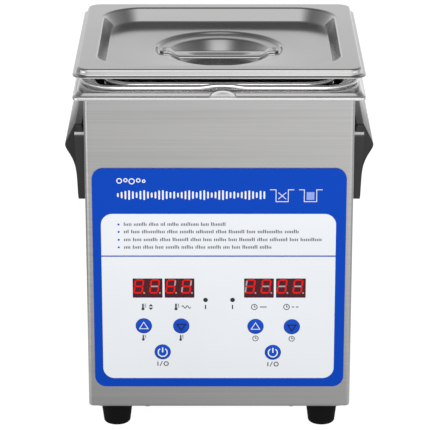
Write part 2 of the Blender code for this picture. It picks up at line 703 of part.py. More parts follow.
# Socket outline, from its centre: x, z. The upper corners are cut off.
SOCKET_OUTLINE = [(-12.0, -8.3), (12.0, -8.3), (12.0, 3.8), (7.5, 8.3), (-7.5, 8.3), (-12.0, 3.8)]
PINS = [(-7.0, -4.0, 73.5), (7.0, -4.0, 73.5), (0.0, 0.5, 74.5)]  # x, foot z, tip y
PIN_HALF_X, PIN_H, PIN_Y0 = 1.0, 4.0, 59.0
DRAWER_Z = INLET_Z1 - 6.8
DRAWER_HALF_X, DRAWER_HALF_Z, DRAWER_Y0, DRAWER_CAVITY_Y0 = 11.0, 4.0, 56.0, 55.0


def build_power_inlet():
    body = block(
        (INLET_X - INLET_HALF_X, INLET_Y0, INLET_Z0),
        (INLET_X + INLET_HALF_X, INLET_Y1, INLET_Z1),
    )
    origin = (INLET_X, BACK_Y, INLET_MIDDLE_Z)
    inlet = add_object("power_inlet", body, origin, BLACK)

    rim = flat_ring(BEZEL_HALF_X, BEZEL_HALF_Z, BEZEL_R, (INLET_X, INLET_MIDDLE_Z), 2)
    bezel = slab(rim, [], BACK_Y + GAP, BACK_Y + BEZEL_DEPTH, "Y")
    unite(inlet, "join_inlet_bezel", bezel, origin)

    socket_outline = [(INLET_X + x, SOCKET_Z + z) for x, z in SOCKET_OUTLINE]
    socket = slab(socket_outline, [], SOCKET_Y0, CAVITY_Y1, "Y")
    half_x, half_z = DRAWER_HALF_X + GAP, DRAWER_HALF_Z + GAP
    drawer_cavity = block(
        (INLET_X - half_x, DRAWER_CAVITY_Y0, DRAWER_Z - half_z),
        (INLET_X + half_x, CAVITY_Y1, DRAWER_Z + half_z),
    )
    cut(inlet, "cut_inlet_cavities", merged([socket, drawer_cavity]), origin)

    pins = [
        block(
            (INLET_X + x - PIN_HALF_X, PIN_Y0, SOCKET_Z + foot_z),
            (INLET_X + x + PIN_HALF_X, tip_y, SOCKET_Z + foot_z + PIN_H),
        )
        for x, foot_z, tip_y in PINS
    ]
    unite(inlet, "join_inlet_pins", merged(pins), origin)


def build_fuse_drawer():
    """An outline in Y and Z, with a notch across its rear face."""
    outline = [
        (DRAWER_Y0, DRAWER_Z - DRAWER_HALF_Z),
        (BACK_Y + 3.6, DRAWER_Z - DRAWER_HALF_Z),
        (BACK_Y + 4.2, DRAWER_Z - 3.4),
        (BACK_Y + 4.2, DRAWER_Z + 1.0),
        (BACK_Y + 3.0, DRAWER_Z + 2.2),
        (BACK_Y + 4.2, DRAWER_Z + 3.2),
        (BACK_Y + 4.2, DRAWER_Z + DRAWER_HALF_Z),
        (DRAWER_Y0, DRAWER_Z + DRAWER_HALF_Z),
    ]
    shape = slab(outline, [], INLET_X - DRAWER_HALF_X, INLET_X + DRAWER_HALF_X, "X")
    add_object("fuse_drawer", shape, (INLET_X, BACK_Y, DRAWER_Z), BLACK, smooth=20.0)


# ---------------------------------------------------------------- wiring
TRANSDUCER_LEAD_R, MAINS_LEAD_R = 1.1, 1.6
TRANSDUCER_LEAD = [  # x, y, z
    (23.5, 0, ELECTRODE_Z - 0.65),
    (26.5, -1, ELECTRODE_Z - 2.0),
    (29.0, -3, ELECTRODE_Z - 8.0),
    (31.0, -6, 65.0),
    (32.0, -9, 45.0),
    (32.0, -10, GENERATOR_PART_Z),
]
MAINS_LEAD = [  # x, y, z
    (46.0, 52.1, 42.0),
    (46.0, 47.5, 42.0),
    (45.0, 44.0, 39.0),
    (44.0, 40.0, 33.0),
    (43.5, 37.0, GENERATOR_PART_Z + 0.6),
]
RIBBON_X0, RIBBON_X1 = -20.0, 0.0
# Lower face y, z, then the step in y, z from there to the upper face.
RIBBON_STATIONS = [
    (-64.4, 58.0, 0.0, 1.1),
    (-60.0, 58.0, 0.6, 1.1),
    (-56.5, 54.0, 1.0, 0.6),
    (-52.0, 34.0, 1.0, 0.6),
    (-48.0, 30.5, 0.5, 1.1),
    (-40.0, 29.6, 0.0, 1.1),
    (-33.0, GENERATOR_PART_Z + 0.2, 0.0, 1.0),
]


def build_wiring():
    lead = wire(TRANSDUCER_LEAD, TRANSDUCER_LEAD_R, 6)
    add_object("transducer_lead", lead, (28.0, -4.0, 60.0), CABLE)
    lead = wire(MAINS_LEAD, MAINS_LEAD_R, 6)
    add_object("mains_lead", lead, (45.0, 45.0, 38.0), CABLE)

    outline = [(y, z) for y, z, _, _ in RIBBON_STATIONS]
    outline += [(y + dy, z + dz) for y, z, dy, dz in reversed(RIBBON_STATIONS)]
    ribbon = slab(outline, [], RIBBON_X0, RIBBON_X1, "X")
    add_object("ribbon_cable", ribbon, (-10.0, -50.0, 45.0), RIBBON)


# ---------------------------------------------------------------- carrying handles
HANDLE_HALF_Y, HANDLE_ORIGIN_Z = 55.0, 171.0
HANDLE_WALL_X = HOUSING_HALF_X + GAP
HANDLE_Z0, HANDLE_Z1, HANDLE_TIP_Z, HANDLE_TIP_X = 146.8, 195.7, 181.6, 94.2
HANDLE_OUTLINE = [  # x, z of the right handle, from the top at the wall downwards
    (HANDLE_WALL_X, HANDLE_Z1),
    (HANDLE_WALL_X + 5.9, HANDLE_Z1),
    (HANDLE_WALL_X + 6.7, HANDLE_Z1 - 1.0),
    (HANDLE_TIP_X - 0.45, HANDLE_TIP_Z + 2.0),
    (HANDLE_TIP_X, HANDLE_TIP_Z + 0.6),
    (HANDLE_TIP_X - 0.35, HANDLE_TIP_Z - 1.0),
    (HANDLE_TIP_X - 1.2, HANDLE_TIP_Z - 2.6),
    (HANDLE_TIP_X - 3.4, HANDLE_TIP_Z - 6.2),
    (HANDLE_WALL_X + 7.6, HANDLE_TIP_Z - 9.6),
    (HANDLE_WALL_X + 6.4, HANDLE_TIP_Z - 13.4),
    (HANDLE_WALL_X + 5.7, HANDLE_TIP_Z - 18.1),
    (HANDLE_WALL_X + 5.4, HANDLE_TIP_Z - 23.6),
    (HANDLE_WALL_X + 5.0, HANDLE_Z0 + 1.0),
    (HANDLE_WALL_X + 4.4, HANDLE_Z0),
    (HANDLE_WALL_X, HANDLE_Z0),
]


def build_handle(name, side):
    outline = [(side * x, z) for x, z in HANDLE_OUTLINE]
    ends = [[place(p, y, "Y") for p in outline] for y in (-HANDLE_HALF_Y, HANDLE_HALF_Y)]
    add_object(name, loft(ends), (side * HANDLE_WALL_X, 0, HANDLE_ORIGIN_Z), BLACK)


# ---------------------------------------------------------------- feet
FOOT_TOP_R, FOOT_BOTTOM_R = 10.2, 8.4
FOOT_BORE_R, FOOT_BORE_H = 4.3, 7.0
SCREW_HEAD_R, SCREW_R, SCREW_TIP_Z = 3.8, 2.0, 21.0
FOOT_PROFILE = [  # radius, z
    (FOOT_BORE_R, 0.0),
    (FOOT_BOTTOM_R - 1.4, 0.0),
    (FOOT_BOTTOM_R - 0.4, 0.5),
    (FOOT_BOTTOM_R, 1.5),
    (FOOT_TOP_R, FOOT_H - 1.0),
    (FOOT_TOP_R - 0.5, FOOT_H),
    (FOOT_HOLE_R, FOOT_H),
    (FOOT_HOLE_R, FOOT_BORE_H),
    (FOOT_BORE_R, FOOT_BORE_H),
]
SCREW_PROFILE = [  # radius, z
    (2.6, FOOT_BORE_H - GAP - 3.0),
    (SCREW_HEAD_R, FOOT_BORE_H - GAP - 1.8),
    (SCREW_HEAD_R, FOOT_BORE_H - GAP),
    (SCREW_R, FOOT_BORE_H - GAP),
    (SCREW_R, SCREW_TIP_Z),
]


def build_feet():
    for side_y, depth in ((-1, "front"), (1, "rear")):
        for side_x, hand in ((-1, "left"), (1, "right")):
            corner = "%s_%s" % (depth, hand)
            centre = (side_x * FOOT_X, side_y * FOOT_Y)
            foot = turned(FOOT_PROFILE, centre, 20, closed=True)
            add_object("foot_" + corner, foot, (*centre, FOOT_H), RUBBER)
            screw = turned(SCREW_PROFILE, centre, 12)
            add_object("foot_screw_" + corner, screw, (*centre, FOOT_BORE_H), ZINC)


# ---------------------------------------------------------------- lid
LID_Z, LID_SHEET, HEM_Z = 236.5, 0.8, 231.4
PAN_HALF_X, PAN_HALF_Y, PAN_R = 68.5, 61.9, 18.8  # foot of the sunken pan's wall
PAN_Z = 228.2  # floor of the pan
DISH_R, DISH_LEDGE_R, BOWL_R, BOWL_FLOOR_R, BOWL_Z = 40.0, 38.2, 31.5, 21.0, 216.0
STRAP_HALF_Y, STRAP_T = 7.4, 1.0
STRAP_END_Z = PAN_Z - 2.2 + GAP  # underside of its ends
# Underside of half the strap: distance from the middle in x, drop below its ends.
STRAP_STATIONS = [(36.9, 0.0), (31.0, 0.0), (29.6, 0.5), (26.5, 2.4), (24.5, 2.9)]


def lid_ring(inset, radius, z):
    """A ring inside the lid's hem, which is as wide as the tank flange."""
    return rect_ring(FLANGE_HALF_X - inset, FLANGE_HALF_Y - inset, radius, z, 5)


def pan_ring(offset, radius, z):
    return rect_ring(PAN_HALF_X + offset, PAN_HALF_Y + offset, radius, z, 5)


def build_lid_pan():
    # Underside: from the middle of the bowl out to the hem.
    lower = [
        round_ring(BOWL_FLOOR_R, BOWL_Z - LID_SHEET),
        round_ring(27.2, BOWL_Z + 1.1 - LID_SHEET),
        round_ring(BOWL_R - 0.7, PAN_Z - 3.6),
        round_ring(BOWL_R + 0.3, PAN_Z - 2.3 - LID_SHEET),
        round_ring(DISH_LEDGE_R + 0.3, PAN_Z - 2.1 - LID_SHEET),
        round_ring(DISH_R, PAN_Z - 0.9 - LID_SHEET),
        round_ring(DISH_R + 0.7, PAN_Z - LID_SHEET),
        pan_ring(0.06, PAN_R, PAN_Z - LID_SHEET),
        pan_ring(1.06, PAN_R + 1.1, PAN_Z - 0.53),
        pan_ring(1.79, PAN_R + 1.8, PAN_Z + 0.2),
        pan_ring(5.66, PAN_R + 5.7, LID_Z - 1.4),
        pan_ring(6.1, PAN_R + 6.1, LID_Z - 0.96),
        pan_ring(6.7, PAN_R + 6.7, LID_Z - LID_SHEET),
        lid_ring(4.2, 6.4, LID_Z - LID_SHEET),
        lid_ring(3.25, 6.8, LID_Z - 1.5),
        lid_ring(2.75, 7.0, HEM_Z + 1.7),
        lid_ring(2.2, 7.2, HEM_Z + 0.7),
        lid_ring(0.8, 7.8, HEM_Z),
    ]
    # Upper side: from the hem back to the middle of the bowl.
    upper = [
        lid_ring(0.0, 8.5, HEM_Z),
        lid_ring(0.0, 8.5, HEM_Z + 0.6),
        lid_ring(1.9, 7.9, HEM_Z + 1.25),
        lid_ring(2.4, 7.8, LID_Z - 1.2),
        lid_ring(2.85, 7.4, LID_Z - 0.35),
        lid_ring(3.8, 7.0, LID_Z),
        pan_ring(6.7, PAN_R + 6.7, LID_Z),
        pan_ring(5.7, PAN_R + 5.7, LID_Z - 0.27),
        pan_ring(4.97, PAN_R + 5.0, LID_Z - 1.0),
        pan_ring(1.1, PAN_R + 1.1, PAN_Z + 0.6),
        pan_ring(0.66, PAN_R + 0.7, PAN_Z + 0.16),
        pan_ring(0.0, PAN_R, PAN_Z),
        round_ring(DISH_R, PAN_Z),
        round_ring(DISH_R - 0.8, PAN_Z - 1.1),
        round_ring(DISH_LEDGE_R, PAN_Z - 2.1),
        round_ring(BOWL_R, PAN_Z - 2.3),
        round_ring(BOWL_R - 1.5, PAN_Z - 3.3),
        round_ring(26.5, BOWL_Z + 1.6),
        round_ring(BOWL_FLOOR_R, BOWL_Z),
    ]
    return add_object("lid_pan", loft(lower + upper), (0, 0, LID_Z), POLISHED)


def build_lid_strap():
    """Its flattened ends are spot-welded on the dish's ledge, and it bridges the bowl."""
    line = [(-x, STRAP_END_Z - drop) for x, drop in STRAP_STATIONS]
    line += [(x, STRAP_END_Z - drop) for x, drop in reversed(STRAP_STATIONS)]
    outline = line + [(x, z + STRAP_T) for x, z in reversed(line)]
    shape = slab(outline, [], -STRAP_HALF_Y, STRAP_HALF_Y, "Y")
    return add_object("lid_handle_strap", shape, (0, 0, LID_Z), POLISHED)


def build_lid():
    """Both pieces hang on one empty that stands on the lid's lifting axis."""
    axis = bpy.data.objects.new("lid_axis", None)
    axis.location = (0, 0, LID_Z * MM)
    bpy.context.scene.collection.objects.link(axis)
    pieces = [build_lid_pan(), build_lid_strap()]
    bpy.context.view_layer.update()  # brings the axis's matrix_world up to date
    for piece in pieces:
        piece.parent = axis
        piece.matrix_parent_inverse = axis.matrix_world.inverted()


# ---------------------------------------------------------------- basket and its bails
BASKET_HALF_X, BASKET_HALF_Y, BASKET_R = 69.5, 65.3, 18.0  # centre line of the rim wire
BASKET_MIN_R = 8.0
RIM_WIRE_R, RIM_Z = 1.5, 223.7
BASKET_FLOOR_Z, BASKET_WALL = 142.0, 1.2

BAIL_WIRE_R, BAIL_Z = 1.4, 224.1
BAIL_PIVOT_Y, BAIL_HALF_X, BAIL_REACH_Y, BAIL_R = 6.0, 83.3, 73.8, 22.0
BAIL_END = [  # x, y from the pivot line: out of the lug and round to the side arm
    (71.4, 0.0), (76.5, 0.0), (80.6, 1.6), (82.9, 5.0), (BAIL_HALF_X, 9.0),
]
HUMP_X = 2.2  # middle of the raised part of each bail
HUMP = [(16, 0), (9.5, 0.5), (4.0, 1.3), (-4.0, 1.3), (-9.5, 0.5), (-16, 0)]  # x, lift

LUG_X0, LUG_X1, LUG_HALF_Y, LUG_Z0 = 68.3, 72.6, 3.0, 219.2
LUG_TOP, LUG_CHAMFER = 3.0, 1.4  # height above the bail wire's axis, corner cut


def basket_ring(offset, z):
    radius = max(BASKET_R + offset, BASKET_MIN_R)
    return rect_ring(BASKET_HALF_X + offset, BASKET_HALF_Y + offset, radius, z, 5)


def bail_lug(side_x, side_y):
    """An upright plate across X with a hole for the end of the bail."""
    y = side_y * BAIL_PIVOT_Y
    outline = [
        (y - LUG_HALF_Y, LUG_Z0),
        (y + LUG_HALF_Y, LUG_Z0),
        (y + LUG_HALF_Y, BAIL_Z + LUG_TOP - LUG_CHAMFER),
        (y + LUG_HALF_Y - LUG_CHAMFER, BAIL_Z + LUG_TOP),
        (y - LUG_HALF_Y + LUG_CHAMFER, BAIL_Z + LUG_TOP),
        (y - LUG_HALF_Y, BAIL_Z + LUG_TOP - LUG_CHAMFER),
    ]
    hole = flat_circle(BAIL_WIRE_R + GAP, (y, BAIL_Z), 12)
    low_x, high_x = sorted((side_x * LUG_X0, side_x * LUG_X1))
    return slab(outline, [hole], low_x, high_x, "X")


def build_basket():
    """A thin-walled tub with a round rim: up the outside, over the rim, down the inside."""
    diagonal = RIM_WIRE_R * math.sqrt(0.5)
    rim_foot_z = RIM_Z - RIM_WIRE_R + 0.2
    rings = [
        basket_ring(-6.0, BASKET_FLOOR_Z),
        basket_ring(-3.5, BASKET_FLOOR_Z + 2.5),
        basket_ring(-0.4, rim_foot_z),
        basket_ring(diagonal, RIM_Z - diagonal),
        basket_ring(RIM_WIRE_R, RIM_Z),
        basket_ring(diagonal, RIM_Z + diagonal),
        basket_ring(0, RIM_Z + RIM_WIRE_R),
        basket_ring(-diagonal, RIM_Z + diagonal),
        basket_ring(-RIM_WIRE_R, RIM_Z),
        basket_ring(-0.4 - BASKET_WALL, rim_foot_z),
        basket_ring(-3.5 - BASKET_WALL, BASKET_FLOOR_Z + 3.2),
        basket_ring(-6.5, BASKET_FLOOR_Z + BASKET_WALL),
    ]
    origin = (0, 0, RIM_Z)
    basket = add_object("basket", loft(rings), origin, WIRE)
    lugs = merged(bail_lug(side_x, side_y) for side_x in (-1, 1) for side_y in (-1, 1))
    unite(basket, "join_bail_lugs", lugs, origin)


def build_bail(name, side):
    """Lies flat over the rim, from one pivot round to the other."""
    half = [(x, BAIL_PIVOT_Y + y, 0) for x, y in BAIL_END]
    for i in range(6):
        angle = math.radians(90 * i / 5)
        x = BAIL_HALF_X - BAIL_R + BAIL_R * math.cos(angle)
        y = BAIL_REACH_Y - BAIL_R + BAIL_R * math.sin(angle)
        half.append((x, y, 0))
    hump = [(HUMP_X + x, BAIL_REACH_Y, lift) for x, lift in HUMP]
    path = half + hump + [(-x, y, z) for x, y, z in reversed(half)]
    shape = wire([(x, side * y, BAIL_Z + z) for x, y, z in path], BAIL_WIRE_R, 8)
    add_object(name, shape, (0, side * BAIL_PIVOT_Y, BAIL_Z), WIRE)


# ---------------------------------------------------------------- assembly
build_housing()
build_base_plate()
build_tank()
build_control_panel()
build_control_board()
build_board_studs()
build_transducer()
build_heater_pad()
build_temperature_sensor()
build_generator_board()
build_heat_sink()
build_transformer()
build_capacitor()
build_power_inlet()
build_fuse_drawer()
build_wiring()
build_handle("handle_left", -1)
build_handle("handle_right", 1)
build_feet()
build_lid()
build_basket()
build_bail("basket_bail_front", -1)
build_bail("basket_bail_rear", 1)
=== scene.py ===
# A bench-top ultrasonic bath: steel housing with a control panel, a tank with a wide flange,
# a pressed lid, a wire basket with two bails, two side handles and rubber feet.
# It stands on z = 0, centred on the Z axis. The panel faces -Y, the power inlet is in the +Y
# wall and the handles are at -X and +X. Pieces are drawn in millimetres in the object's frame
# and scaled to metres when they are finished. Stage, camera and lights are in metres.
import json
import math

import bmesh
import bpy
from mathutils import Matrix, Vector
from mathutils.geometry import tessellate_polygon

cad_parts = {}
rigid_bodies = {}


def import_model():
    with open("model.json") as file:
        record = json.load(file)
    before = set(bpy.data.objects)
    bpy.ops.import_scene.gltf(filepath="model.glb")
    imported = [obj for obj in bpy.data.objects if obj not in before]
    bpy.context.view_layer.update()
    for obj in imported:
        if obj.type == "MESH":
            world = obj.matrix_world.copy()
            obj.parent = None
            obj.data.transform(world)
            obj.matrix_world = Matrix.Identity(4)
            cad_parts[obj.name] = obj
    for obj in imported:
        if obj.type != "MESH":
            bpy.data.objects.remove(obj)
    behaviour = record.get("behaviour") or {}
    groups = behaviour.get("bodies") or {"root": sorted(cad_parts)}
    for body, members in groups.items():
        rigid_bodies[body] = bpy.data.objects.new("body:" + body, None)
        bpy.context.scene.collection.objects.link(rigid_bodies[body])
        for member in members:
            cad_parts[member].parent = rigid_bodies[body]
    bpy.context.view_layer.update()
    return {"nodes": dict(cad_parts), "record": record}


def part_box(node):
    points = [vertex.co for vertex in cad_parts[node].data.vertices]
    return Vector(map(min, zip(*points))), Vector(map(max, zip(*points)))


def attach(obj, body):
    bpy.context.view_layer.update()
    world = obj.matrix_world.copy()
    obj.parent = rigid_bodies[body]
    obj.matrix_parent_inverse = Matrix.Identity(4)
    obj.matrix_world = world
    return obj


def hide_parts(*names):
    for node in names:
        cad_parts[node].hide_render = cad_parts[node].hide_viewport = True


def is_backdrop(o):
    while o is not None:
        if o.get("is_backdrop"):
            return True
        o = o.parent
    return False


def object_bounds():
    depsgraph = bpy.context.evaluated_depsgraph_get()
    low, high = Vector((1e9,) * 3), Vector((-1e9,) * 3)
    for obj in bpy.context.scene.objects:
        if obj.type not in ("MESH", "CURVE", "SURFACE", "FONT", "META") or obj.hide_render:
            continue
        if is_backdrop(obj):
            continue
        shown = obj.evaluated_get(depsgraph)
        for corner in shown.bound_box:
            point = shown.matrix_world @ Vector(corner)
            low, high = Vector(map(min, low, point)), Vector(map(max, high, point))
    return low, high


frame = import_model()
nodes = frame["nodes"]
MM = 0.001


# ================================================================ shader graphs
class Graph:
    """Adds nodes to a node tree. Values may be numbers, tuples or output sockets."""

    def __init__(self, tree):
        self.tree = tree

    def feed(self, socket, value):
        if isinstance(value, bpy.types.NodeSocket):
            self.tree.links.new(value, socket)
        else:
            socket.default_value = value

    def node(self, kind, **values):
        """A shader node, with its inputs named by keyword, underscores for spaces."""
        node = self.tree.nodes.new("ShaderNode" + kind)
        for key, value in values.items():
            self.feed(node.inputs[key.replace("_", " ")], value)
        return node

    def math(self, operation, *values, clamp=False):
        node = self.node("Math")
        node.operation = operation
        node.use_clamp = clamp
        for socket, value in zip(node.inputs, values):
            self.feed(socket, value)
        return node.outputs[0]

    def ramp(self, value, span, to=(0.0, 1.0), interpolation="LINEAR"):
        """Carries the values in span over to the range to, clamped at both ends."""
        node = self.node("MapRange")
        node.clamp = True
        node.interpolation_type = interpolation
        keys = ("From Min", "From Max", "To Min", "To Max", "Value")
        for key, number in zip(keys, (*span, *to, value)):
            self.feed(node.inputs[key], number)
        return node.outputs["Result"]

    def mix(self, factor, first, second, data_type="RGBA"):
        node = self.node("Mix")
        node.data_type = data_type
        self.feed(node.inputs["Factor"], factor)
        kind = "RGBA" if data_type == "RGBA" else "VALUE"
        sockets = [s for s in node.inputs if s.type == kind and s.name in ("A", "B")]
        for socket, value in zip(sockets, (first, second)):
            self.feed(socket, (*value, 1.0) if isinstance(value, tuple) else value)
        return [s for s in node.outputs if s.type == kind][0]


class Surface(Graph):
    """A new material on the Principled shader, textured in object coordinates."""

    def __init__(self, name):
        self.material = bpy.data.materials.new(name)
        self.material.use_nodes = True
        super().__init__(self.material.node_tree)
        self.shader = self.tree.nodes["Principled BSDF"]
        self.coords = self.node("TexCoord").outputs["Object"]

    def set(self, **values):
        for key, value in values.items():
            self.feed(self.shader.inputs[key.replace("_", " ")], value)

    def noise(self, scale, detail=3.0, rough=0.55, offset=(0.0, 0.0, 0.0)):
        """Noise at a scale per metre, one number or one for each axis."""
        if not isinstance(scale, tuple):
            scale = (scale,) * 3
        noise = self.node("TexNoise", Scale=1.0, Detail=detail, Roughness=rough)
        mapping = self.node("Mapping", Scale=scale, Location=offset, Vector=self.coords)
        self.feed(noise.inputs["Vector"], mapping.outputs["Vector"])
        return noise.outputs["Fac"]

    def blend(self, first, second, share):
        """A weighted sum, with share as the weight of first."""
        return self.math(
            "ADD",
            self.math("MULTIPLY", first, share),
            self.math("MULTIPLY", second, 1 - share),
        )

    def shaded(self, value, colour, dark, span=(0.3, 0.7)):
        """The colour, multiplied by dark where value is low."""
        return self.mix(self.ramp(value, span), tuple(c * dark for c in colour), colour)

    def bump(self, height, strength, distance):
        node = self.node("Bump", Strength=strength, Distance=distance, Height=height)
        self.set(Normal=node.outputs["Normal"])

    def edge_wear(self):
        """1 on sharp outward edges, 0 elsewhere."""
        return self.ramp(self.node("NewGeometry").outputs["Pointiness"], span=(0.52, 0.62))


# ================================================================ kinds of material
def steel(name, colour, rough, grain, strength=0.05, dark=0.86, spread=0.07, metallic=1.0,
          streak=None):
    """Brushed sheet. The grain scale is small along the brushing and large across it."""
    sheet = Surface(name)
    lines = sheet.noise(grain, detail=4.0, rough=0.65)
    fine_grain = tuple(g * 2.7 for g in grain)
    fine = sheet.noise(fine_grain, detail=2.0, rough=0.5, offset=(3.1, 1.7, 9.2))
    brushing = sheet.blend(lines, fine, share=0.6)
    if streak:
        wide = sheet.noise(streak, detail=3.0, rough=0.6, offset=(7.7, 2.3, 4.1))
        brushing = sheet.blend(brushing, wide, share=0.5)
    smudge = sheet.noise(9.0, detail=3.0, rough=0.5)
    sheet.set(Base_Color=sheet.shaded(brushing, colour, dark, span=(0.35, 0.65)))
    brushed_rough = sheet.ramp(
        brushing, span=(0.3, 0.7), to=(rough + spread, rough - spread * 0.6)
    )
    smudge_rough = sheet.ramp(smudge, span=(0.35, 0.7), to=(-0.02, 0.035))
    sheet.set(
        Roughness=sheet.math("ADD", brushed_rough, smudge_rough, clamp=True),
        Metallic=metallic,
    )
    sheet.bump(brushing, strength, distance=0.0001)
    return sheet.material


def plastic(name, colour, rough, grain, strength, wear=(0.16, 0.16, 0.165), specular=0.5):
    """Moulded plastic with a fine grain, faint colour drift and paler worn edges."""
    moulded = Surface(name)
    grit = moulded.noise(grain, detail=2.0, rough=0.6)
    drift = moulded.noise(22.0, detail=3.0, rough=0.5)
    base = moulded.shaded(drift, colour, dark=0.82)
    worn = moulded.math(
        "MULTIPLY", moulded.edge_wear(), moulded.ramp(drift, span=(0.4, 0.7), to=(0.05, 0.45))
    )
    moulded.set(Base_Color=moulded.mix(worn, base, wear))
    grit_rough = moulded.ramp(grit, span=(0.3, 0.7), to=(rough - 0.05, rough + 0.06))
    drift_rough = moulded.ramp(drift, span=(0.3, 0.7), to=(-0.03, 0.04))
    moulded.set(
        Roughness=moulded.math("ADD", grit_rough, drift_rough), Specular_IOR_Level=specular
    )
    moulded.bump(grit, strength, distance=0.00012)
    return moulded.material


def printed(name, colour, rough, specular=0.16):
    """Ink on film: nearly flat, with a faint orange-peel and a slow gloss drift."""
    film = Surface(name)
    peel = film.noise(900.0, detail=2.0, rough=0.5)
    drift = film.noise(14.0, detail=2.0, rough=0.5)
    film.set(
        Base_Color=film.shaded(drift, colour, dark=0.965),
        Roughness=film.ramp(drift, span=(0.3, 0.7), to=(rough - 0.05, rough + 0.05)),
        Specular_IOR_Level=specular,
    )
    film.bump(peel, strength=0.05, distance=0.00008)
    return film.material


def cast(name, colour, rough, metallic, grain=1500.0, strength=0.1):
    """An even, finely gritty surface."""
    gritty = Surface(name)
    grit = gritty.noise(grain, detail=3.0, rough=0.6)
    drift = gritty.noise(60.0, detail=3.0, rough=0.5)
    gritty.set(
        Base_Color=gritty.shaded(drift, colour, dark=0.8),
        Roughness=gritty.ramp(grit, span=(0.3, 0.7), to=(max(rough - 0.08, 0.03), rough + 0.08)),
        Metallic=metallic,
    )
    gritty.bump(grit, strength, distance=0.0001)
    return gritty.material


def display_glass():
    glass = Surface("display_face")
    speck = glass.noise(1600.0, detail=2.0, rough=0.6)
    speck_share = glass.ramp(speck, span=(0.35, 0.65))
    glass.set(
        Base_Color=glass.mix(speck_share, (0.050, 0.010, 0.014), (0.082, 0.018, 0.025)),
        Roughness=0.32,
        Specular_IOR_Level=0.15,
    )
    glass.bump(speck, strength=0.05, distance=0.00005)
    return glass.material


def glowing(name, colour, strength):
    glow = Surface(name)
    tint = glow.shaded(glow.noise(2400.0, detail=2.0, rough=0.5), colour, dark=0.86)
    glow.set(
        Base_Color=tint,
        Emission_Color=tint,
        Emission_Strength=strength,
        Roughness=0.3,
        Specular_IOR_Level=0.15,
    )
    return glow.material


# ================================================================ the materials
STEEL_HOUSING = steel("steel_housing", (0.535, 0.532, 0.527), rough=0.30, grain=(5.0, 5.0, 2600.0),
                      strength=0.10, dark=0.80, spread=0.08, streak=(4.0, 4.0, 620.0))
STEEL_LID = steel("steel_lid", (0.60, 0.597, 0.593), rough=0.14, grain=(7.0, 4200.0, 4200.0),
                  strength=0.010, dark=0.94, spread=0.03, metallic=0.97)
STEEL_TANK = steel("steel_tank", (0.74, 0.737, 0.732), rough=0.20, grain=(7.0, 4200.0, 4200.0),
                   strength=0.012, dark=0.94, spread=0.05, metallic=0.90)
# The wire steel is paler than the other steels: partly its polished finish, partly painted
# highlight, its colour raised so the rim and bails look brightly lit.
STEEL_WIRE = steel("steel_wire", (0.90, 0.898, 0.895), rough=0.15, grain=(2400.0,) * 3,
                   strength=0.02, dark=0.9, spread=0.05, metallic=0.9)
STEEL_ZINC = cast("steel_zinc_plated", (0.42, 0.43, 0.45), rough=0.34, metallic=1.0)
ALUMINIUM = steel("aluminium_turned", (0.66, 0.67, 0.68), rough=0.34, grain=(20.0, 20.0, 2400.0),
                  dark=0.85)
BRASS = cast("brass_stamped", (0.66, 0.45, 0.17), rough=0.3, metallic=1.0)
BLACK = plastic("plastic_black", (0.0045, 0.0045, 0.005), rough=0.25, grain=2600.0,
                strength=0.05, wear=(0.05, 0.05, 0.052))
BLACK_SMALL = plastic("plastic_black_small", (0.02, 0.02, 0.021), rough=0.4, grain=3000.0,
                      strength=0.08)
RUBBER = plastic("rubber_black", (0.006, 0.006, 0.006), rough=0.72, grain=1400.0,
                 strength=0.25, wear=(0.02, 0.02, 0.02), specular=0.12)
FILM_BLUE = printed("film_blue", (0.003, 0.060, 0.485), rough=0.34, specular=0.07)
FILM_WHITE = printed("film_white", (0.825, 0.848, 0.88), rough=0.40)
INK_WHITE = printed("ink_white", (0.86, 0.88, 0.92), rough=0.36)
INK_PALE = printed("ink_pale_blue", (0.28, 0.38, 0.80), rough=0.36)
INK_GREY = printed("ink_grey", (0.055, 0.058, 0.065), rough=0.4)
INK_NAVY = printed("ink_navy", (0.012, 0.014, 0.075), rough=0.36)
KEY_BLUE = printed("key_blue", (0.005, 0.072, 0.54), rough=0.27)
BOARD_GREEN = cast("board_green", (0.02, 0.16, 0.07), 0.42, metallic=0.0, grain=500.0, strength=0.2)
PIEZO = cast("piezo_ceramic", (0.62, 0.57, 0.48), rough=0.6, metallic=0.0, grain=3000.0)
SILICONE = cast("heater_silicone", (0.42, 0.09, 0.05), rough=0.66, metallic=0.0, grain=1200.0,
                strength=0.3)
FERRITE = cast("ferrite", (0.06, 0.055, 0.05), rough=0.55, metallic=0.0, grain=1800.0,
               strength=0.2)
SLEEVE = cast("sleeve_blue", (0.02, 0.035, 0.12), rough=0.35, metallic=0.0, grain=400.0,
              strength=0.05)
CABLE = cast("cable_red", (0.40, 0.03, 0.03), rough=0.45, metallic=0.0, grain=700.0,
             strength=0.08)
RIBBON = steel("ribbon_grey", (0.42, 0.43, 0.45), rough=0.5, grain=(1000.0, 4.0, 4.0),
               strength=0.25, dark=0.8, metallic=0.0)
DISPLAY_FACE = display_glass()
SEGMENT_ON = glowing("segment_lit", (0.70, 0.004, 0.005), strength=0.36)
SEGMENT_OFF = glowing("segment_unlit", (0.52, 0.36, 0.37), strength=0.0)
LENS = glowing("indicator_lens", (0.030, 0.040, 0.045), strength=0.0)


# ================================================================ objects from shapes
def make_object(name, shape, smooth=38.0):
    """An object from a bmesh in millimetres; edges sharper than smooth degrees stay sharp."""
    bmesh.ops.remove_doubles(shape, verts=shape.verts, dist=1e-4)
    bmesh.ops.recalc_face_normals(shape, faces=shape.faces)
    for vert in shape.verts:
        vert.co *= MM
    mesh = bpy.data.meshes.new(name)
    shape.to_mesh(mesh)
    shape.free()
    mesh.shade_smooth()
    mesh.set_sharp_from_angle(angle=math.radians(smooth))
    obj = bpy.data.objects.new(name, mesh)
    bpy.context.scene.collection.objects.link(obj)
    return obj


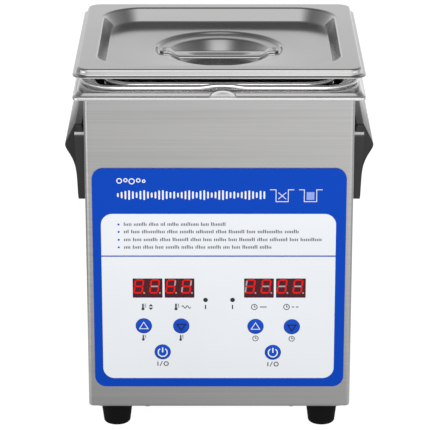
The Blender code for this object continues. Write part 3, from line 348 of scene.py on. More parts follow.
def finish(name, shape, look, stands_for=None, body="housing", smooth=38.0):
    """An object with its material, riding on a body and standing for a CAD piece if named."""
    obj = make_object(name, shape, smooth)
    obj.data.materials.append(look)
    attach(obj, body)
    if stands_for:
        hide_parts(stands_for)
    return obj


def cut(obj, cutter_shape):
    """Takes the cutter's shape out of the object's mesh for good."""
    cutter = make_object("cutter", cutter_shape)
    modifier = obj.modifiers.new("cut", "BOOLEAN")
    modifier.operation = "DIFFERENCE"
    modifier.solver = "EXACT"
    modifier.object = cutter
    bpy.context.view_layer.update()
    graph = bpy.context.evaluated_depsgraph_get()
    made = bpy.data.meshes.new_from_object(obj.evaluated_get(graph))
    obj.modifiers.clear()
    old = obj.data
    obj.data = made
    bpy.data.meshes.remove(old)
    bpy.data.objects.remove(cutter, do_unlink=True)


def soften(obj, width, angle=None):
    """Bevels edges by a width in metres, those above an angle in degrees if it is given."""
    bevel = obj.modifiers.new("edge", "BEVEL")
    bevel.width = width
    bevel.segments = 2
    if angle is not None:
        bevel.limit_method = "ANGLE"
        bevel.angle_limit = math.radians(angle)


def box_mm(node):
    low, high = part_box(node)
    return [v / MM for v in low], [v / MM for v in high]


def middle_xz(node):
    low, high = box_mm(node)
    return (low[0] + high[0]) / 2, (low[2] + high[2]) / 2


# ================================================================ outlines and paths
def rounded_ring(half_x, half_y, radius, z, steps, straight=1, centre=(0.0, 0.0)):
    """A rounded rectangle: steps on each corner, straight divisions along each side."""
    corners = ((1, 1), (-1, 1), (-1, -1), (1, -1))

    def at(quarter, step):
        sign_x, sign_y = corners[quarter % 4]
        angle = math.radians(90 * quarter + 90 * step / steps)
        x = centre[0] + sign_x * (half_x - radius) + radius * math.cos(angle)
        y = centre[1] + sign_y * (half_y - radius) + radius * math.sin(angle)
        return Vector((x, y, z))

    ring = []
    for quarter in range(4):
        ring += [at(quarter, i) for i in range(steps + 1)]
        start, end = ring[-1], at(quarter + 1, 0)
        ring += [start.lerp(end, i / straight) for i in range(1, straight)]
    return ring


def round_like(ring, radius, z):
    """A circle with its points in the same directions as the ring's."""
    return [Vector((p.x, p.y, 0)).normalized() * radius + Vector((0, 0, z)) for p in ring]


def flat_rounded(half_u, half_v, radius, centre, steps):
    return [(p.x, p.y) for p in rounded_ring(half_u, half_v, radius, 0.0, steps, 1, centre)]


def flat_circle(radius, centre, steps):
    angles = [2 * math.pi * i / steps for i in range(steps)]
    return [
        (centre[0] + radius * math.cos(angle), centre[1] + radius * math.sin(angle))
        for angle in angles
    ]


def arc(centre_u, centre_v, radius, start, end, steps):
    """Points along an arc, its angles in degrees."""
    angles = [math.radians(start + (end - start) * i / steps) for i in range(steps + 1)]
    return [(centre_u + radius * math.cos(a), centre_v + radius * math.sin(a)) for a in angles]


def smooth_path(points):
    """Cuts the corners of an open path twice, keeping its ends."""
    points = [Vector(p) for p in points]
    for _ in range(2):
        inner = []
        for start, end in zip(points, points[1:]):
            inner += [start.lerp(end, 0.25), start.lerp(end, 0.75)]
        points = [points[0], *inner, points[-1]]
    return points


def ease(value, low, high):
    """A smooth step from 0 at low to 1 at high."""
    share = min(1.0, max(0.0, (value - low) / (high - low)))
    return share * share * (3 - 2 * share)


# ================================================================ solids
def place(u, v, level, axis):
    """A point from two flat coordinates and a level along the axis."""
    return Vector({"X": (level, u, v), "Y": (u, level, v), "Z": (u, v, level)}[axis])


def loft(rings, closed=False, shape=None, turn=0):
    """Skins the rings. Closed, the last ring, started at its point turn, meets the first."""
    shape = shape or bmesh.new()
    rows = [[shape.verts.new(p) for p in ring] for ring in rings]
    pairs = list(zip(rows, rows[1:]))
    if closed:
        pairs.append((rows[-1][turn:] + rows[-1][:turn], rows[0]))
    for low, high in pairs:
        for i in range(len(low)):
            j = (i + 1) % len(low)
            shape.faces.new((low[i], low[j], high[j], high[i]))
    if not closed:
        shape.faces.new(list(reversed(rows[0])))
        shape.faces.new(rows[-1])
    return shape


def turned(profile, centre, steps, axis="Z", closed=False, shape=None):
    """Turns a profile of (radius, level) about a line along the axis."""
    rings = [
        [place(u, v, level, axis) for u, v in flat_circle(radius, centre, steps)]
        for radius, level in profile
    ]
    return loft(rings, closed=closed, shape=shape)


def slab(outline, holes, low, high, axis, shape=None):
    """A flat plate with holes, from level low to level high along the axis."""
    loops = [outline, *holes]
    triangles = tessellate_polygon([[Vector((p[0], p[1], 0)) for p in loop] for loop in loops])
    shape = shape or bmesh.new()
    points = [p for loop in loops for p in loop]
    lower = [shape.verts.new(place(*p, low, axis)) for p in points]
    upper = [shape.verts.new(place(*p, high, axis)) for p in points]
    for a, b, c in triangles:
        shape.faces.new((lower[c], lower[b], lower[a]))
        shape.faces.new((upper[a], upper[b], upper[c]))
    start = 0
    for loop in loops:
        for i in range(len(loop)):
            here, after = start + i, start + (i + 1) % len(loop)
            shape.faces.new((lower[here], lower[after], upper[after], upper[here]))
        start += len(loop)
    return shape


def block(low, high, shape=None):
    shape = shape or bmesh.new()
    for vert in bmesh.ops.create_cube(shape, size=1.0)["verts"]:
        vert.co = Vector([low[i] if vert.co[i] < 0 else high[i] for i in range(3)])
    return shape


def tube(points, radius, sides, closed=False, shape=None):
    """A round wire along a path."""
    points = [Vector(p) for p in points]
    count = len(points)
    tangents = []
    for i in range(count):
        if closed:
            before, after = points[i - 1], points[(i + 1) % count]
        else:
            before, after = points[max(i - 1, 0)], points[min(i + 1, count - 1)]
        tangents.append((after - before).normalized())
    normal = tangents[0].orthogonal().normalized()
    rings = []
    for i, point in enumerate(points):
        if i:
            turn = tangents[i - 1].rotation_difference(tangents[i])
            normal = (turn @ normal).normalized()
        side = tangents[i].cross(normal).normalized()
        angles = [2 * math.pi * k / sides for k in range(sides)]
        rings.append(
            [point + (normal * math.cos(a) + side * math.sin(a)) * radius for a in angles]
        )
    if not closed:
        return loft(rings, shape=shape)
    # The last ring starts at its point nearest the first ring's start, to meet it untwisted.
    seam = min(range(sides), key=lambda k: (rings[-1][k] - rings[0][0]).length)
    return loft(rings, closed=True, shape=shape, turn=seam)


# ================================================================ housing
housing_low, housing_high = box_mm("housing_shell")
HOUSING_X, HOUSING_Y, HOUSING_TOP = housing_high  # half width, half depth, top
HOUSING_BASE = housing_low[2]
FRONT = -HOUSING_Y

# Section of the open shell with its floor turned in: (inset, corner radius, z).
HOUSING_SECTION = (
    (12.0, 1.0, HOUSING_BASE), (1.3, 1.9, HOUSING_BASE), (0.7, 2.4, HOUSING_BASE + 0.15),
    (0.2, 2.8, HOUSING_BASE + 0.6), (0.0, 3.0, HOUSING_BASE + 1.3), (0.0, 3.0, HOUSING_TOP),
    (1.0, 2.0, HOUSING_TOP), (1.0, 2.0, HOUSING_BASE + 1.5), (1.4, 1.6, HOUSING_BASE + 1.0),
    (12.0, 1.0, HOUSING_BASE + 1.0),
)
housing_rings = [
    rounded_ring(HOUSING_X - inset, HOUSING_Y - inset, radius, z, steps=8)
    for inset, radius, z in HOUSING_SECTION
]
housing = finish("housing", loft(housing_rings, closed=True), STEEL_HOUSING,
                 "housing_shell")

# Openings behind the panel and for the power inlet.
CUT_DEPTH = 3.0  # how far a cutter reaches to each side of the wall's face
DISPLAY_CLEARANCE = 0.4
INDICATOR_CUT_RADIUS, KEY_CUT_RADIUS = 1.7, 5.3
INLET_CUT_X, INLET_CUT_Z = 13.7, 19.3  # half width and half height

displays = ["display_set_temp", "display_actual_temp", "display_minute", "display_second"]
display_box = {name: box_mm(name) for name in displays}
indicators = ["indicator_heater", "indicator_ultrasonic"]
button_names = [name for name in nodes if name.startswith("button_")]

openings = bmesh.new()
for left, right in (displays[:2], displays[2:]):
    low, high = display_box[left]
    right_end = display_box[right][1][0]
    block(
        (low[0] - DISPLAY_CLEARANCE, FRONT - CUT_DEPTH, low[2] - DISPLAY_CLEARANCE),
        (right_end + DISPLAY_CLEARANCE, FRONT + CUT_DEPTH, high[2] + DISPLAY_CLEARANCE),
        openings,
    )
for names, radius, steps in (
    (indicators, INDICATOR_CUT_RADIUS, 16), (button_names, KEY_CUT_RADIUS, 28),
):
    for name in names:
        turned([(radius, FRONT - CUT_DEPTH), (radius, FRONT + CUT_DEPTH)], middle_xz(name),
               steps, "Y", shape=openings)
inlet_x, inlet_z = middle_xz("power_inlet")
block(
    (inlet_x - INLET_CUT_X, HOUSING_Y - CUT_DEPTH, inlet_z - INLET_CUT_Z),
    (inlet_x + INLET_CUT_X, HOUSING_Y + CUT_DEPTH, inlet_z + INLET_CUT_Z),
    openings,
)
cut(housing, openings)

# Keeps the big flat faces flat beside their rounded bends.
housing.data.set_sharp_from_angle(angle=math.radians(40.0))
weighted = housing.modifiers.new("normals", "WEIGHTED_NORMAL")
weighted.mode = "FACE_AREA"
weighted.weight = 100
weighted.keep_sharp = True

# ================================================================ tank with its flange
tank_low, tank_high = box_mm("tank")
FLANGE_X, FLANGE_Y, TANK_TOP = tank_high
TANK_X, TANK_Y, TANK_RADIUS = 75.0, 67.5, 20.0  # inside half sizes and corner radius
TANK_SHEET = 1.0
TANK_FLOOR = tank_low[2] + TANK_SHEET
LIP_Z = 217.8  # foot of the flange's turned-down lip
ROLL_Z = 220.65  # level that heights on the rolled flange are given from
FLOOR_BEND = 12.0  # inside radius between wall and floor
WALL_LEAN = 0.4
CORNER_STEPS, SIDE_STEPS = 12, 10


def flange_rings(datum, rows):
    """Rings from rows of (inset from the flange's edge, corner radius, height over datum)."""
    return [
        rounded_ring(FLANGE_X - inset, FLANGE_Y - inset, radius, datum + z,
                     CORNER_STEPS, SIDE_STEPS)
        for inset, radius, z in rows
    ]


def tank_ring(offset, radius, z):
    return rounded_ring(TANK_X + offset, TANK_Y + offset, radius, z, CORNER_STEPS, SIDE_STEPS)


def floor_ring(half_x, half_y, radius, depth):
    return rounded_ring(half_x, half_y, radius, TANK_FLOOR - depth, CORNER_STEPS, SIDE_STEPS)


def floor_bend(radius):
    """(offset, z) down the bend from the wall to the floor."""
    return arc(-(FLOOR_BEND + WALL_LEAN), TANK_FLOOR + FLOOR_BEND, radius, 0, -90, 8)


def tank_rings():
    """Up the outside of the sheet to the lip's foot, then over the flange and down inside."""
    outer_radius = TANK_RADIUS + TANK_SHEET
    rings = [floor_ring(12.0, 10.0, 3.0, TANK_SHEET)]
    for offset, z in reversed(floor_bend(FLOOR_BEND + TANK_SHEET)):
        rings.append(tank_ring(offset, outer_radius + offset * 0.6, z))
    rings.append(tank_ring(1.0, outer_radius, TANK_TOP - 1.6))
    rings.append(tank_ring(1.8, TANK_RADIUS, TANK_TOP - 1.05))
    rings += flange_rings(ROLL_Z, (
        (7.8, 12.0, 0.8), (3.6, 6.0, 0.78), (2.7, 5.0, 0.6), (1.9, 4.2, -0.2),
        (1.15, 3.2, -1.2), (1.0, 2.9, -1.6),
    ))
    rings += flange_rings(LIP_Z, (
        (1.0, 2.9, 0.0), (0.25, 3.6, 0.0), (0.05, 3.8, 0.25), (0.0, 3.9, 0.7),
    ))
    rings += flange_rings(ROLL_Z, (
        (0.0, 3.9, -1.3), (0.08, 3.9, -0.98), (0.3, 3.8, -0.76), (0.8, 3.9, -0.62),
        (1.12, 4.2, -0.34), (1.6, 4.5, 0.28), (2.12, 5.0, 1.0), (2.42, 5.2, 1.38),
        (2.7, 5.5, 1.6), (3.1, 5.9, 1.73), (3.6, 6.5, 1.78), (4.6, 7.6, 1.8),
        (7.6, 12.5, 1.83), (9.6, 16.0, 1.85),
    ))
    # Rounded mouth of the tank: (offset, depth under the top).
    for offset, depth in ((1.4, 0.0), (0.85, 0.08), (0.4, 0.3), (0.12, 0.7), (0.0, 1.3)):
        rings.append(tank_ring(offset, TANK_RADIUS, TANK_TOP - depth))
    rings.append(tank_ring(-WALL_LEAN, TANK_RADIUS, TANK_FLOOR + FLOOR_BEND))
    for offset, z in floor_bend(FLOOR_BEND)[1:]:
        rings.append(tank_ring(offset, TANK_RADIUS + offset * 0.6, z))
    return rings + [floor_ring(40.0, 34.0, 8.0, 0.05), floor_ring(12.0, 10.0, 3.0, 0.1)]


finish("tank_bath", loft(tank_rings()), STEEL_TANK, "tank", smooth=60)

# Raised half-moon at the middle of the front flange: a thumb grip under the bail's hump.
HUMP_X = 2.2
GRIP_X, GRIP_RISE, GRIP_LEAN = 8.1, 3.9, math.radians(58)  # half width, rise, slope
# Contours from the foot to the crown: (share of the outline, bulge out of the slope).
GRIP_CONTOURS = (
    (1.0, -1.1), (1.0, 0.1), (0.97, 0.42), (0.9, 0.62), (0.82, 0.6), (0.74, 0.52),
    (0.5, 0.72), (0.25, 0.85), (0.03, 0.9),
)
up_slope = Vector((0, math.cos(GRIP_LEAN), math.sin(GRIP_LEAN)))
off_slope = Vector((0, -math.sin(GRIP_LEAN), math.cos(GRIP_LEAN)))
grip_foot = Vector((HUMP_X, -FLANGE_Y + 0.75, ROLL_Z - 0.35))
grip_rings = []
for share, bulge in GRIP_CONTOURS:
    ring = []
    for i in range(33):
        angle = math.pi * i / 32
        across = Vector((GRIP_X * share * math.cos(angle), 0, 0))
        rise = up_slope * (GRIP_RISE * share * math.sin(angle))
        ring.append(grip_foot + across + rise + off_slope * bulge)
    grip_rings.append(ring)
finish("flange_thumb_grip", loft(grip_rings), STEEL_TANK, smooth=50)

# ================================================================ control panel film
film_low, film_high = box_mm("control_overlay")
FILM_FRONT = film_low[1]
FILM_X, FILM_Z0, FILM_Z1 = film_high[0], film_low[2], film_high[2]
FILM_RADIUS = 7.0
INK = 0.05  # thickness of the white field and of marks straight on the film
THIN_INK = 0.03  # thickness of marks on the white field
FIELD_X0, FIELD_X1, FIELD_Z0, FIELD_Z1 = -71.9, 71.0, 36.5, 144.7
DISPLAY_GAP = 0.22

panel_holes = []
for name in displays:
    low, high = display_box[name]
    half_x = (high[0] - low[0]) / 2 + DISPLAY_GAP
    half_z = (high[2] - low[2]) / 2 + DISPLAY_GAP
    panel_holes.append(flat_rounded(half_x, half_z, 0.35, middle_xz(name), 3))
panel_holes += [flat_circle(1.45, middle_xz(name), 20) for name in indicators]
panel_holes += [flat_circle(5.05, middle_xz(name), 48) for name in button_names]


def panel_sheet(x0, x1, z0, z1, front, back):
    centre = ((x0 + x1) / 2, (z0 + z1) / 2)
    outline = flat_rounded((x1 - x0) / 2, (z1 - z0) / 2, FILM_RADIUS, centre, 12)
    return slab(outline, panel_holes, front, back, "Y")


film = panel_sheet(-FILM_X, FILM_X, FILM_Z0, FILM_Z1, FILM_FRONT, FRONT - 0.01)
finish("panel_film", film, FILM_BLUE, "control_overlay")
field = panel_sheet(FIELD_X0, FIELD_X1, FIELD_Z0, FIELD_Z1, FILM_FRONT - INK, FILM_FRONT)
finish("panel_white_field", field, FILM_WHITE)


# ================================================================ printed marks
def left_of(direction):
    return Vector((-direction.y, direction.x))


class Ink:
    """Flat printed shapes in (x, z), lying on a plane that faces -Y."""

    def __init__(self, plane, depth=INK):
        self.shape = bmesh.new()
        self.front, self.back = plane - depth, plane

    def poly(self, outline, holes=()):
        slab(list(outline), list(holes), self.front, self.back, "Y", self.shape)

    def bar(self, start, end, width, round_ends=False):
        start, end = Vector(start), Vector(end)
        direction = (end - start).normalized()
        if round_ends:
            angle = math.degrees(math.atan2(direction.y, direction.x))
            self.poly(
                arc(*end, width / 2, angle - 90, angle + 90, 8)
                + arc(*start, width / 2, angle + 90, angle + 270, 8)
            )
        else:
            side = left_of(direction) * width / 2
            self.poly(tuple(p) for p in (start - side, end - side, end + side, start + side))

    def disc(self, centre, radius):
        self.poly(flat_circle(radius, centre, 12))

    def ring(self, centre, radius, width, steps, start=None, end=None):
        """A full ring, or a part of one between two angles in degrees."""
        outer, inner = radius + width / 2, radius - width / 2
        if start is None:
            self.poly(flat_circle(outer, centre, steps), [flat_circle(inner, centre, steps)])
        else:
            inside = arc(*centre, inner, start, end, steps)
            self.poly(arc(*centre, outer, start, end, steps) + inside[::-1])

    def stroke(self, points, width, closed=False):
        """A mitred line; closed, a frame."""
        points = [Vector(p) for p in points]
        leaving = [(b - a).normalized() for a, b in zip(points, points[1:] + points[:1])]
        arriving = leaving[-1:] + leaving[:-1]
        if not closed:
            arriving[0] = leaving[0]
            leaving[-1] = arriving[-1]
        left, right = [], []
        for point, before, after in zip(points, arriving, leaving):
            mitre = (left_of(before) + left_of(after)).normalized()
            offset = mitre * width / 2 / mitre.dot(left_of(after))
            left.append(tuple(point + offset))
            right.append(tuple(point - offset))
        if closed:
            self.poly(right, [left])
        else:
            self.poly(left + right[::-1])

    def done(self, name, look, slot="panel_film", body="housing"):
        finish(name, self.shape, look, body=body, smooth=30)


# Blue rule between the note lines and the displays.
rule = Ink(FILM_FRONT - INK, THIN_INK)
rule.bar((FIELD_X0, 117.4), (FIELD_X1, 117.4), 0.78)
rule.done("panel_rule", FILM_BLUE)

# Level pictograms: an empty tank crossed out, and a filled tank.
LINE = 0.42
RIM_LEVEL, BOTTOM_LEVEL = 160.2, 152.6
white_ink = Ink(FILM_FRONT)
for rim_x0, rim_x1, wall_x0, wall_x1 in ((30.7, 45.4, 34.4, 41.8), (48.3, 62.6, 51.5, 59.0)):
    white_ink.stroke([
        (rim_x0, RIM_LEVEL), (wall_x0, RIM_LEVEL), (wall_x0, BOTTOM_LEVEL),
        (wall_x1, BOTTOM_LEVEL), (wall_x1, RIM_LEVEL), (rim_x1, RIM_LEVEL),
    ], LINE)
# The cross: one whole diagonal, and one in two parts to each side of it.
for start, end in (
    ((35.8, 158.4), (40.5, 154.2)), ((35.8, 154.2), (37.95, 156.12)),
    ((38.35, 156.48), (40.5, 158.4)),
):
    white_ink.bar(start, end, LINE)

# A sound-wave trace of upright bars, and a row of bubbles above it.
WAVE_HEIGHTS = (
    1.9, 3.0, 4.2, 5.0, 3.8, 2.6, 4.4, 5.2, 3.4, 2.2, 3.2, 4.8, 5.2, 4.0, 2.8, 3.6,
)
WAVE_X, WAVE_LENGTH, WAVE_Z, WAVE_BARS = -61.3, 88.6, 156.8, 40
BUBBLES = (  # (x, z, radius)
    (-60.4, 165.9, 1.45), (-56.6, 166.3, 1.0), (-52.9, 165.6, 1.6), (-48.9, 166.2, 1.1),
    (-45.6, 165.7, 0.8),
)
for i in range(WAVE_BARS):
    x = WAVE_X + WAVE_LENGTH * i / (WAVE_BARS - 1)
    height = WAVE_HEIGHTS[i % len(WAVE_HEIGHTS)] * (0.75 if i in (0, WAVE_BARS - 1) else 1.0)
    white_ink.bar((x, WAVE_Z - height / 2), (x, WAVE_Z + height / 2), 1.05, round_ends=True)
for x, z, radius in BUBBLES:
    white_ink.ring((x, z), radius, 0.62, 28)
white_ink.done("panel_white_marks", INK_WHITE)

level_fill = Ink(FILM_FRONT)
level_fill.poly([(52.9, 153.7), (57.6, 153.7), (57.6, 158.7), (52.9, 158.7)])
level_fill.done("panel_level_fill", INK_PALE)

# Four note lines: groups of upright ticks behind round bullets.
NOTES = (  # (z, right end, ticks in each group)
    (137.9, 4.0, (5, 8, 6, 3, 7, 11, 5, 9)),
    (133.1, 48.5, (3, 5, 13, 6, 8, 10, 6, 9, 5, 14, 8)),
    (128.0, 62.5, (4, 5, 8, 6, 9, 6, 5, 7, 5, 9, 6, 10, 5, 12)),
    (123.1, 32.0, (4, 5, 6, 5, 8, 7, 6, 8, 4, 5, 9, 7)),
)
TICK_HEIGHTS = (1.65, 1.5, 2.3, 1.6, 1.5, 2.2, 1.6)
BULLET_X, NOTE_X = -61.2, -58.2
grey = Ink(FILM_FRONT - INK, THIN_INK)
bullets = Ink(FILM_FRONT - INK, THIN_INK)
for z, right_end, words in NOTES:
    bullets.disc((BULLET_X, z), 0.66)
    pitch = (right_end - NOTE_X) / (sum(words) + len(words) - 1)
    word_x = NOTE_X
    for word in words:
        for k in range(word):
            height = TICK_HEIGHTS[(k * 3 + word) % len(TICK_HEIGHTS)]
            x = word_x + (k + 0.5) * pitch
            grey.bar((x, z - 0.85), (x, z - 0.85 + height), 0.52 * pitch)
        word_x += (word + 1.0) * pitch
bullets.done("panel_bullets", FILM_BLUE)


def thermometer(x, z, size=1.0):
    """Bulb and stem in one outline, with three graduations."""
    bulb, stem = 0.95 * size, 0.5 * size
    bulb_z, cap_z = z - 1.25 * size, z + 2.3 * size - stem
    neck = math.asin(stem / bulb)
    outline = []
    for i in range(19):
        angle = neck + (2 * math.pi - 2 * neck) * i / 18
        outline.append((x + bulb * math.sin(angle), bulb_z + bulb * math.cos(angle)))
    grey.poly(outline + [(x - stem, cap_z)] + arc(x, cap_z, stem, 150, 0, 5))
    for k in range(3):
        mark_z = z + (1.85 - 0.95 * k) * size
        grey.bar((x + 1.0 * size, mark_z), (x + 2.0 * size, mark_z), 0.42 * size)


def clock(x, z, size=1.0):
    grey.ring((x, z), 1.75 * size, 0.48 * size, 28)
    grey.stroke([(x, z + 1.15 * size), (x, z), (x + 0.95 * size, z)], 0.46 * size)


# A row of icons level with ICON_Z.
ICON_Z = 84.0
thermometer(-46.9, ICON_Z)
grey.poly([(-43.4, 84.4), (-40.6, 84.4), (-42.0, 86.0)])
grey.poly([(-43.4, 83.6), (-42.0, 82.0), (-40.6, 83.6)])
thermometer(-26.6, ICON_Z)
ripple = [
    (-23.0 + 5.4 * i / 24, ICON_Z + 0.85 * math.sin(2 * math.pi * i / 12)) for i in range(25)
]
grey.stroke(ripple, 0.5)
clock(21.6, ICON_Z)
grey.bar((25.0, ICON_Z), (29.2, ICON_Z), 0.6)
clock(41.4, ICON_Z)
for x0, x1 in ((44.6, 46.2), (47.2, 48.8)):
    grey.bar((x0, ICON_Z), (x1, ICON_Z), 0.6)
for x in (-8.4, 8.2):
    grey.bar((x, 82.6), (x, 85.4), 0.75)

# Icons under the keys.
for key in ("temp_up", "temp_down"):
    x, z = middle_xz("button_" + key)
    thermometer(x - 0.4, z - 8.0, size=0.88)
for key in ("time_up", "time_down"):
    x, z = middle_xz("button_" + key)
    clock(x, z - 8.0, size=0.95)
for key in ("heater_power", "ultrasonic_power"):
    x, z = middle_xz("button_" + key)
    grey.bar((x - 3.0, z - 9.3), (x - 3.0, z - 6.5), 0.62)
    grey.bar((x - 1.7, z - 9.5), (x - 0.2, z - 6.3), 0.5)
    grey.ring((x + 2.1, z - 7.9), 1.3, 0.58, 24)
grey.done("panel_grey_marks", INK_GREY)

# ================================================================ keys
KEY_RADIUS, KEY_STEM_RADIUS = 4.88, 1.7
KEY_CROWN = (  # (radius, depth behind the key's front)
    (0.15, 0.0), (2.2, 0.02), (3.6, 0.06), (4.3, 0.13), (4.7, 0.27), (4.86, 0.5),
    (KEY_RADIUS, 0.8),
)
for name in button_names:
    x, z = middle_xz(name)
    low, high = box_mm(name)
    profile = [(radius, low[1] + depth) for radius, depth in KEY_CROWN]
    profile += [(KEY_RADIUS, FRONT + 1.3), (KEY_STEM_RADIUS, FRONT + 1.3)]
    profile.append((KEY_STEM_RADIUS, high[1]))
    short_name = name.removeprefix("button_")
    finish("key_" + short_name, turned(profile, (x, z), 64, "Y"), KEY_BLUE, name,
           body=name, smooth=50)
    mark = Ink(low[1] + 0.09, depth=0.11)
    look = INK_WHITE
    if name.endswith("_up"):
        corners = [(x - 2.65, z - 1.75), (x + 2.65, z - 1.75), (x, z + 2.6)]
        mark.stroke(corners, 0.44, closed=True)
    elif name.endswith("_down"):
        corners = [(x - 2.55, z + 1.2), (x, z - 2.8), (x + 2.55, z + 1.2)]
        mark.stroke(corners, 0.7, closed=True)
        look = INK_NAVY
    else:
        mark.ring((x, z - 0.1), 2.8, 0.72, 40, start=125, end=415)
        mark.bar((x, z - 0.2), (x, z + 3.1), 0.8)
    mark.done("key_mark_" + short_name, look, "key_film", name)

# ================================================================ displays
LIT_SEGMENTS = {"0": "abcdef", "3": "abcdg", "5": "acdfg", "6": "acdefg", "8": "abcdefg"}
READING = dict(zip(displays, ("80", "65", "30", "00")))
DIGIT_WIDTH, DIGIT_HEIGHT, SEGMENT_WIDTH = 4.95, 9.4, 0.98
DIGIT_SLANT = 0.125  # shift to the right per unit of height
DIGIT_X, DIGIT_PITCH, DIGIT_LIFT = 3.5, 9.7, 1.05
SEGMENT_GAP = 0.14
MODULE_INSET = 0.12

half = SEGMENT_WIDTH / 2
right = DIGIT_WIDTH / 2
top = DIGIT_HEIGHT / 2 - half
SEGMENTS = (  # (name, upright, level across the segment, start, end)
    ("a", False, top, -right, right), ("g", False, 0.0, -right, right),
    ("d", False, -top, -right, right), ("f", True, -right, 0.0, top),
    ("b", True, right, 0.0, top), ("e", True, -right, -top, 0.0), ("c", True, right, -top, 0.0),
)


def draw_digit(digit, centre_x, centre_z, lit, unlit):
    def at(across, height):
        return (centre_x + across + DIGIT_SLANT * height, centre_z + height)

    for name, upright, level, start, end in SEGMENTS:
        side = half if upright else -half
        start, end = start + SEGMENT_GAP, end - SEGMENT_GAP
        outline = (
            (start, level), (start + half, level + side), (end - half, level + side),
            (end, level), (end - half, level - side), (start + half, level - side),
        )
        ink = lit if name in LIT_SEGMENTS[digit] else unlit
        ink.poly(at(across, along) if upright else at(along, across)
                 for along, across in outline)
    unlit.disc(at(right + 1.35, -top - 0.1), 0.55)


for name in displays:
    low, high = display_box[name]
    face = low[1]
    module = block(
        (low[0] + MODULE_INSET, face, low[2] + MODULE_INSET),
        (high[0] - MODULE_INSET, high[1], high[2] - MODULE_INSET),
    )
    piece = finish(name + "_module", module, DISPLAY_FACE, name, smooth=30)
    soften(piece, 0.0002)
    lit, unlit = Ink(face, depth=0.06), Ink(face, depth=0.05)
    for k, digit in enumerate(READING[name]):
        digit_x = low[0] + DIGIT_X + DIGIT_PITCH * k
        draw_digit(digit, digit_x, (low[2] + high[2]) / 2 + DIGIT_LIFT, lit, unlit)
    lit.done(name + "_lit", SEGMENT_ON, "display_window")
    unlit.done(name + "_unlit", SEGMENT_OFF, "display_window")

LENS_DOME = ((0.12, 0.0), (0.6, 0.08), (1.0, 0.3), (1.22, 0.6), (1.28, 1.0))  # (radius, depth)
for name in indicators:
    low, high = box_mm(name)
    profile = [(radius, low[1] + depth) for radius, depth in LENS_DOME] + [(1.28, high[1])]
    finish(name + "_lens", turned(profile, middle_xz(name), 28, "Y"), LENS,
           name, smooth=50)

# ================================================================ carrying handles
handle_low, handle_high = box_mm("handle_right")
WALL, HANDLE_Y = handle_low[0], handle_high[1]
# Section of the wing, down from its top: (distance out from the wall, z).
WING = (
    (0, 195.4), (5.9, 195.4), (6.6, 194.7), (12.1, 183.6), (12.45, 182.2), (12.2, 180.8),
    (11.4, 179.0), (9.2, 175.4), (7.6, 172.0), (6.4, 168.2), (5.7, 163.5), (5.4, 158.0),
    (5.0, 148.0), (4.6, 147.2), (0, 147.2),
)
# Rounded end of the wing: (distance from the end, inset of the section).
WING_END = ((0.75, 0.9), (0.85, 0.45), (1.15, 0.12), (1.7, 0.0))
WEB_BACK, WEB_FRONT = WALL + 0.35, WALL + 4.6
WEB_SHOULDER, WEB_RADIUS = 187.5, 6.2


def cut_corners(points):
    """Cuts each corner of a closed outline once, but for those on the wall."""
    result = []
    for i, point in enumerate(points):
        point = Vector(point)
        if abs(point.x - WALL) < 1e-6:
            result.append(tuple(point))
            continue
        for neighbour in (points[i - 1], points[(i + 1) % len(points)]):
            result.append(tuple(point.lerp(Vector(neighbour), 0.22)))
    return result


def inset_wing(points, amount):
    """Moves the clockwise outline inwards, keeping its wall side on the wall."""
    result = []
    for i, (x, z) in enumerate(points):
        before, after = Vector(points[i - 1]), Vector(points[(i + 1) % len(points)])
        along = (after - before).normalized()
        moved = Vector((x, z)) + Vector((along.y, -along.x)) * amount
        if abs(x - WALL) < 1e-6:
            moved = Vector((WALL, z + (amount if z < 170 else -amount)))
        result.append((max(moved.x, WALL), moved.y))
    return result


wing = cut_corners(cut_corners([(WALL + out, z) for out, z in WING]))
for side, name in ((-1, "handle_left"), (1, "handle_right")):
    rings = [
        [Vector((side * x, -HANDLE_Y + from_end, z)) for x, z in inset_wing(wing, amount)]
        for from_end, amount in WING_END
    ]
    rings += [[Vector((p.x, -p.y, p.z)) for p in ring] for ring in reversed(rings)]
    finish(name + "_grip", loft(rings), BLACK, name, smooth=40)
    # The inner web stands slightly proud of the wing at each end, with a rolled top edge.
    section = [(-HANDLE_Y, 147.6), (-HANDLE_Y, 148.2), (-HANDLE_Y, WEB_SHOULDER)]
    section += arc(-HANDLE_Y + WEB_RADIUS, WEB_SHOULDER, WEB_RADIUS, 174, 90, 14)
    section += [(-y, z) for y, z in reversed(section)]
    shape = slab(section, [], *sorted((side * WEB_BACK, side * WEB_FRONT)), "X")
    for vert in shape.verts:
        if abs(vert.co.x) > WALL + 2:
            vert.co.x = side * (WEB_FRONT + 1.9 * ease(vert.co.z, 150.0, 188.0))
    web = finish(name + "_web", shape, BLACK, smooth=30)
    soften(web, 0.0004, angle=50)


# ================================================================ feet and screws underneath
def middle_xy(low, high):
    return (low[0] + high[0]) / 2, (low[1] + high[1]) / 2


def cut_cross(screw, centre, reach, half_width, low, high):
    """Cuts a cross recess with two crossed blocks."""
    x, y = centre
    for half_x, half_y in ((reach, half_width), (half_width, reach)):
        cut(screw, block((x - half_x, y - half_y, low), (x + half_x, y + half_y, high)))


for node in [n for n in nodes if n.startswith("foot_") and "screw" not in n]:
    low, high = box_mm(node)
    foot_top = high[2]
    profile = [(4.3, 0.25), (4.6, 0.0), (6.6, 0.0), *arc(6.9, 1.5, 1.5, -90, -8, 6)]
    profile += [(8.5, 2.2), (9.2, 8.0), (10.05, foot_top - 1.3), (10.2, foot_top - 0.8)]
    profile += [(10.1, foot_top - 0.3), (9.8, foot_top), (2.4, foot_top)]
    profile += [(2.4, 7.0), (4.0, 7.0), (4.3, 6.8)]
    shape = turned(profile, middle_xy(low, high), 56, closed=True)
    finish(node + "_rubber", shape, RUBBER, node, smooth=50)

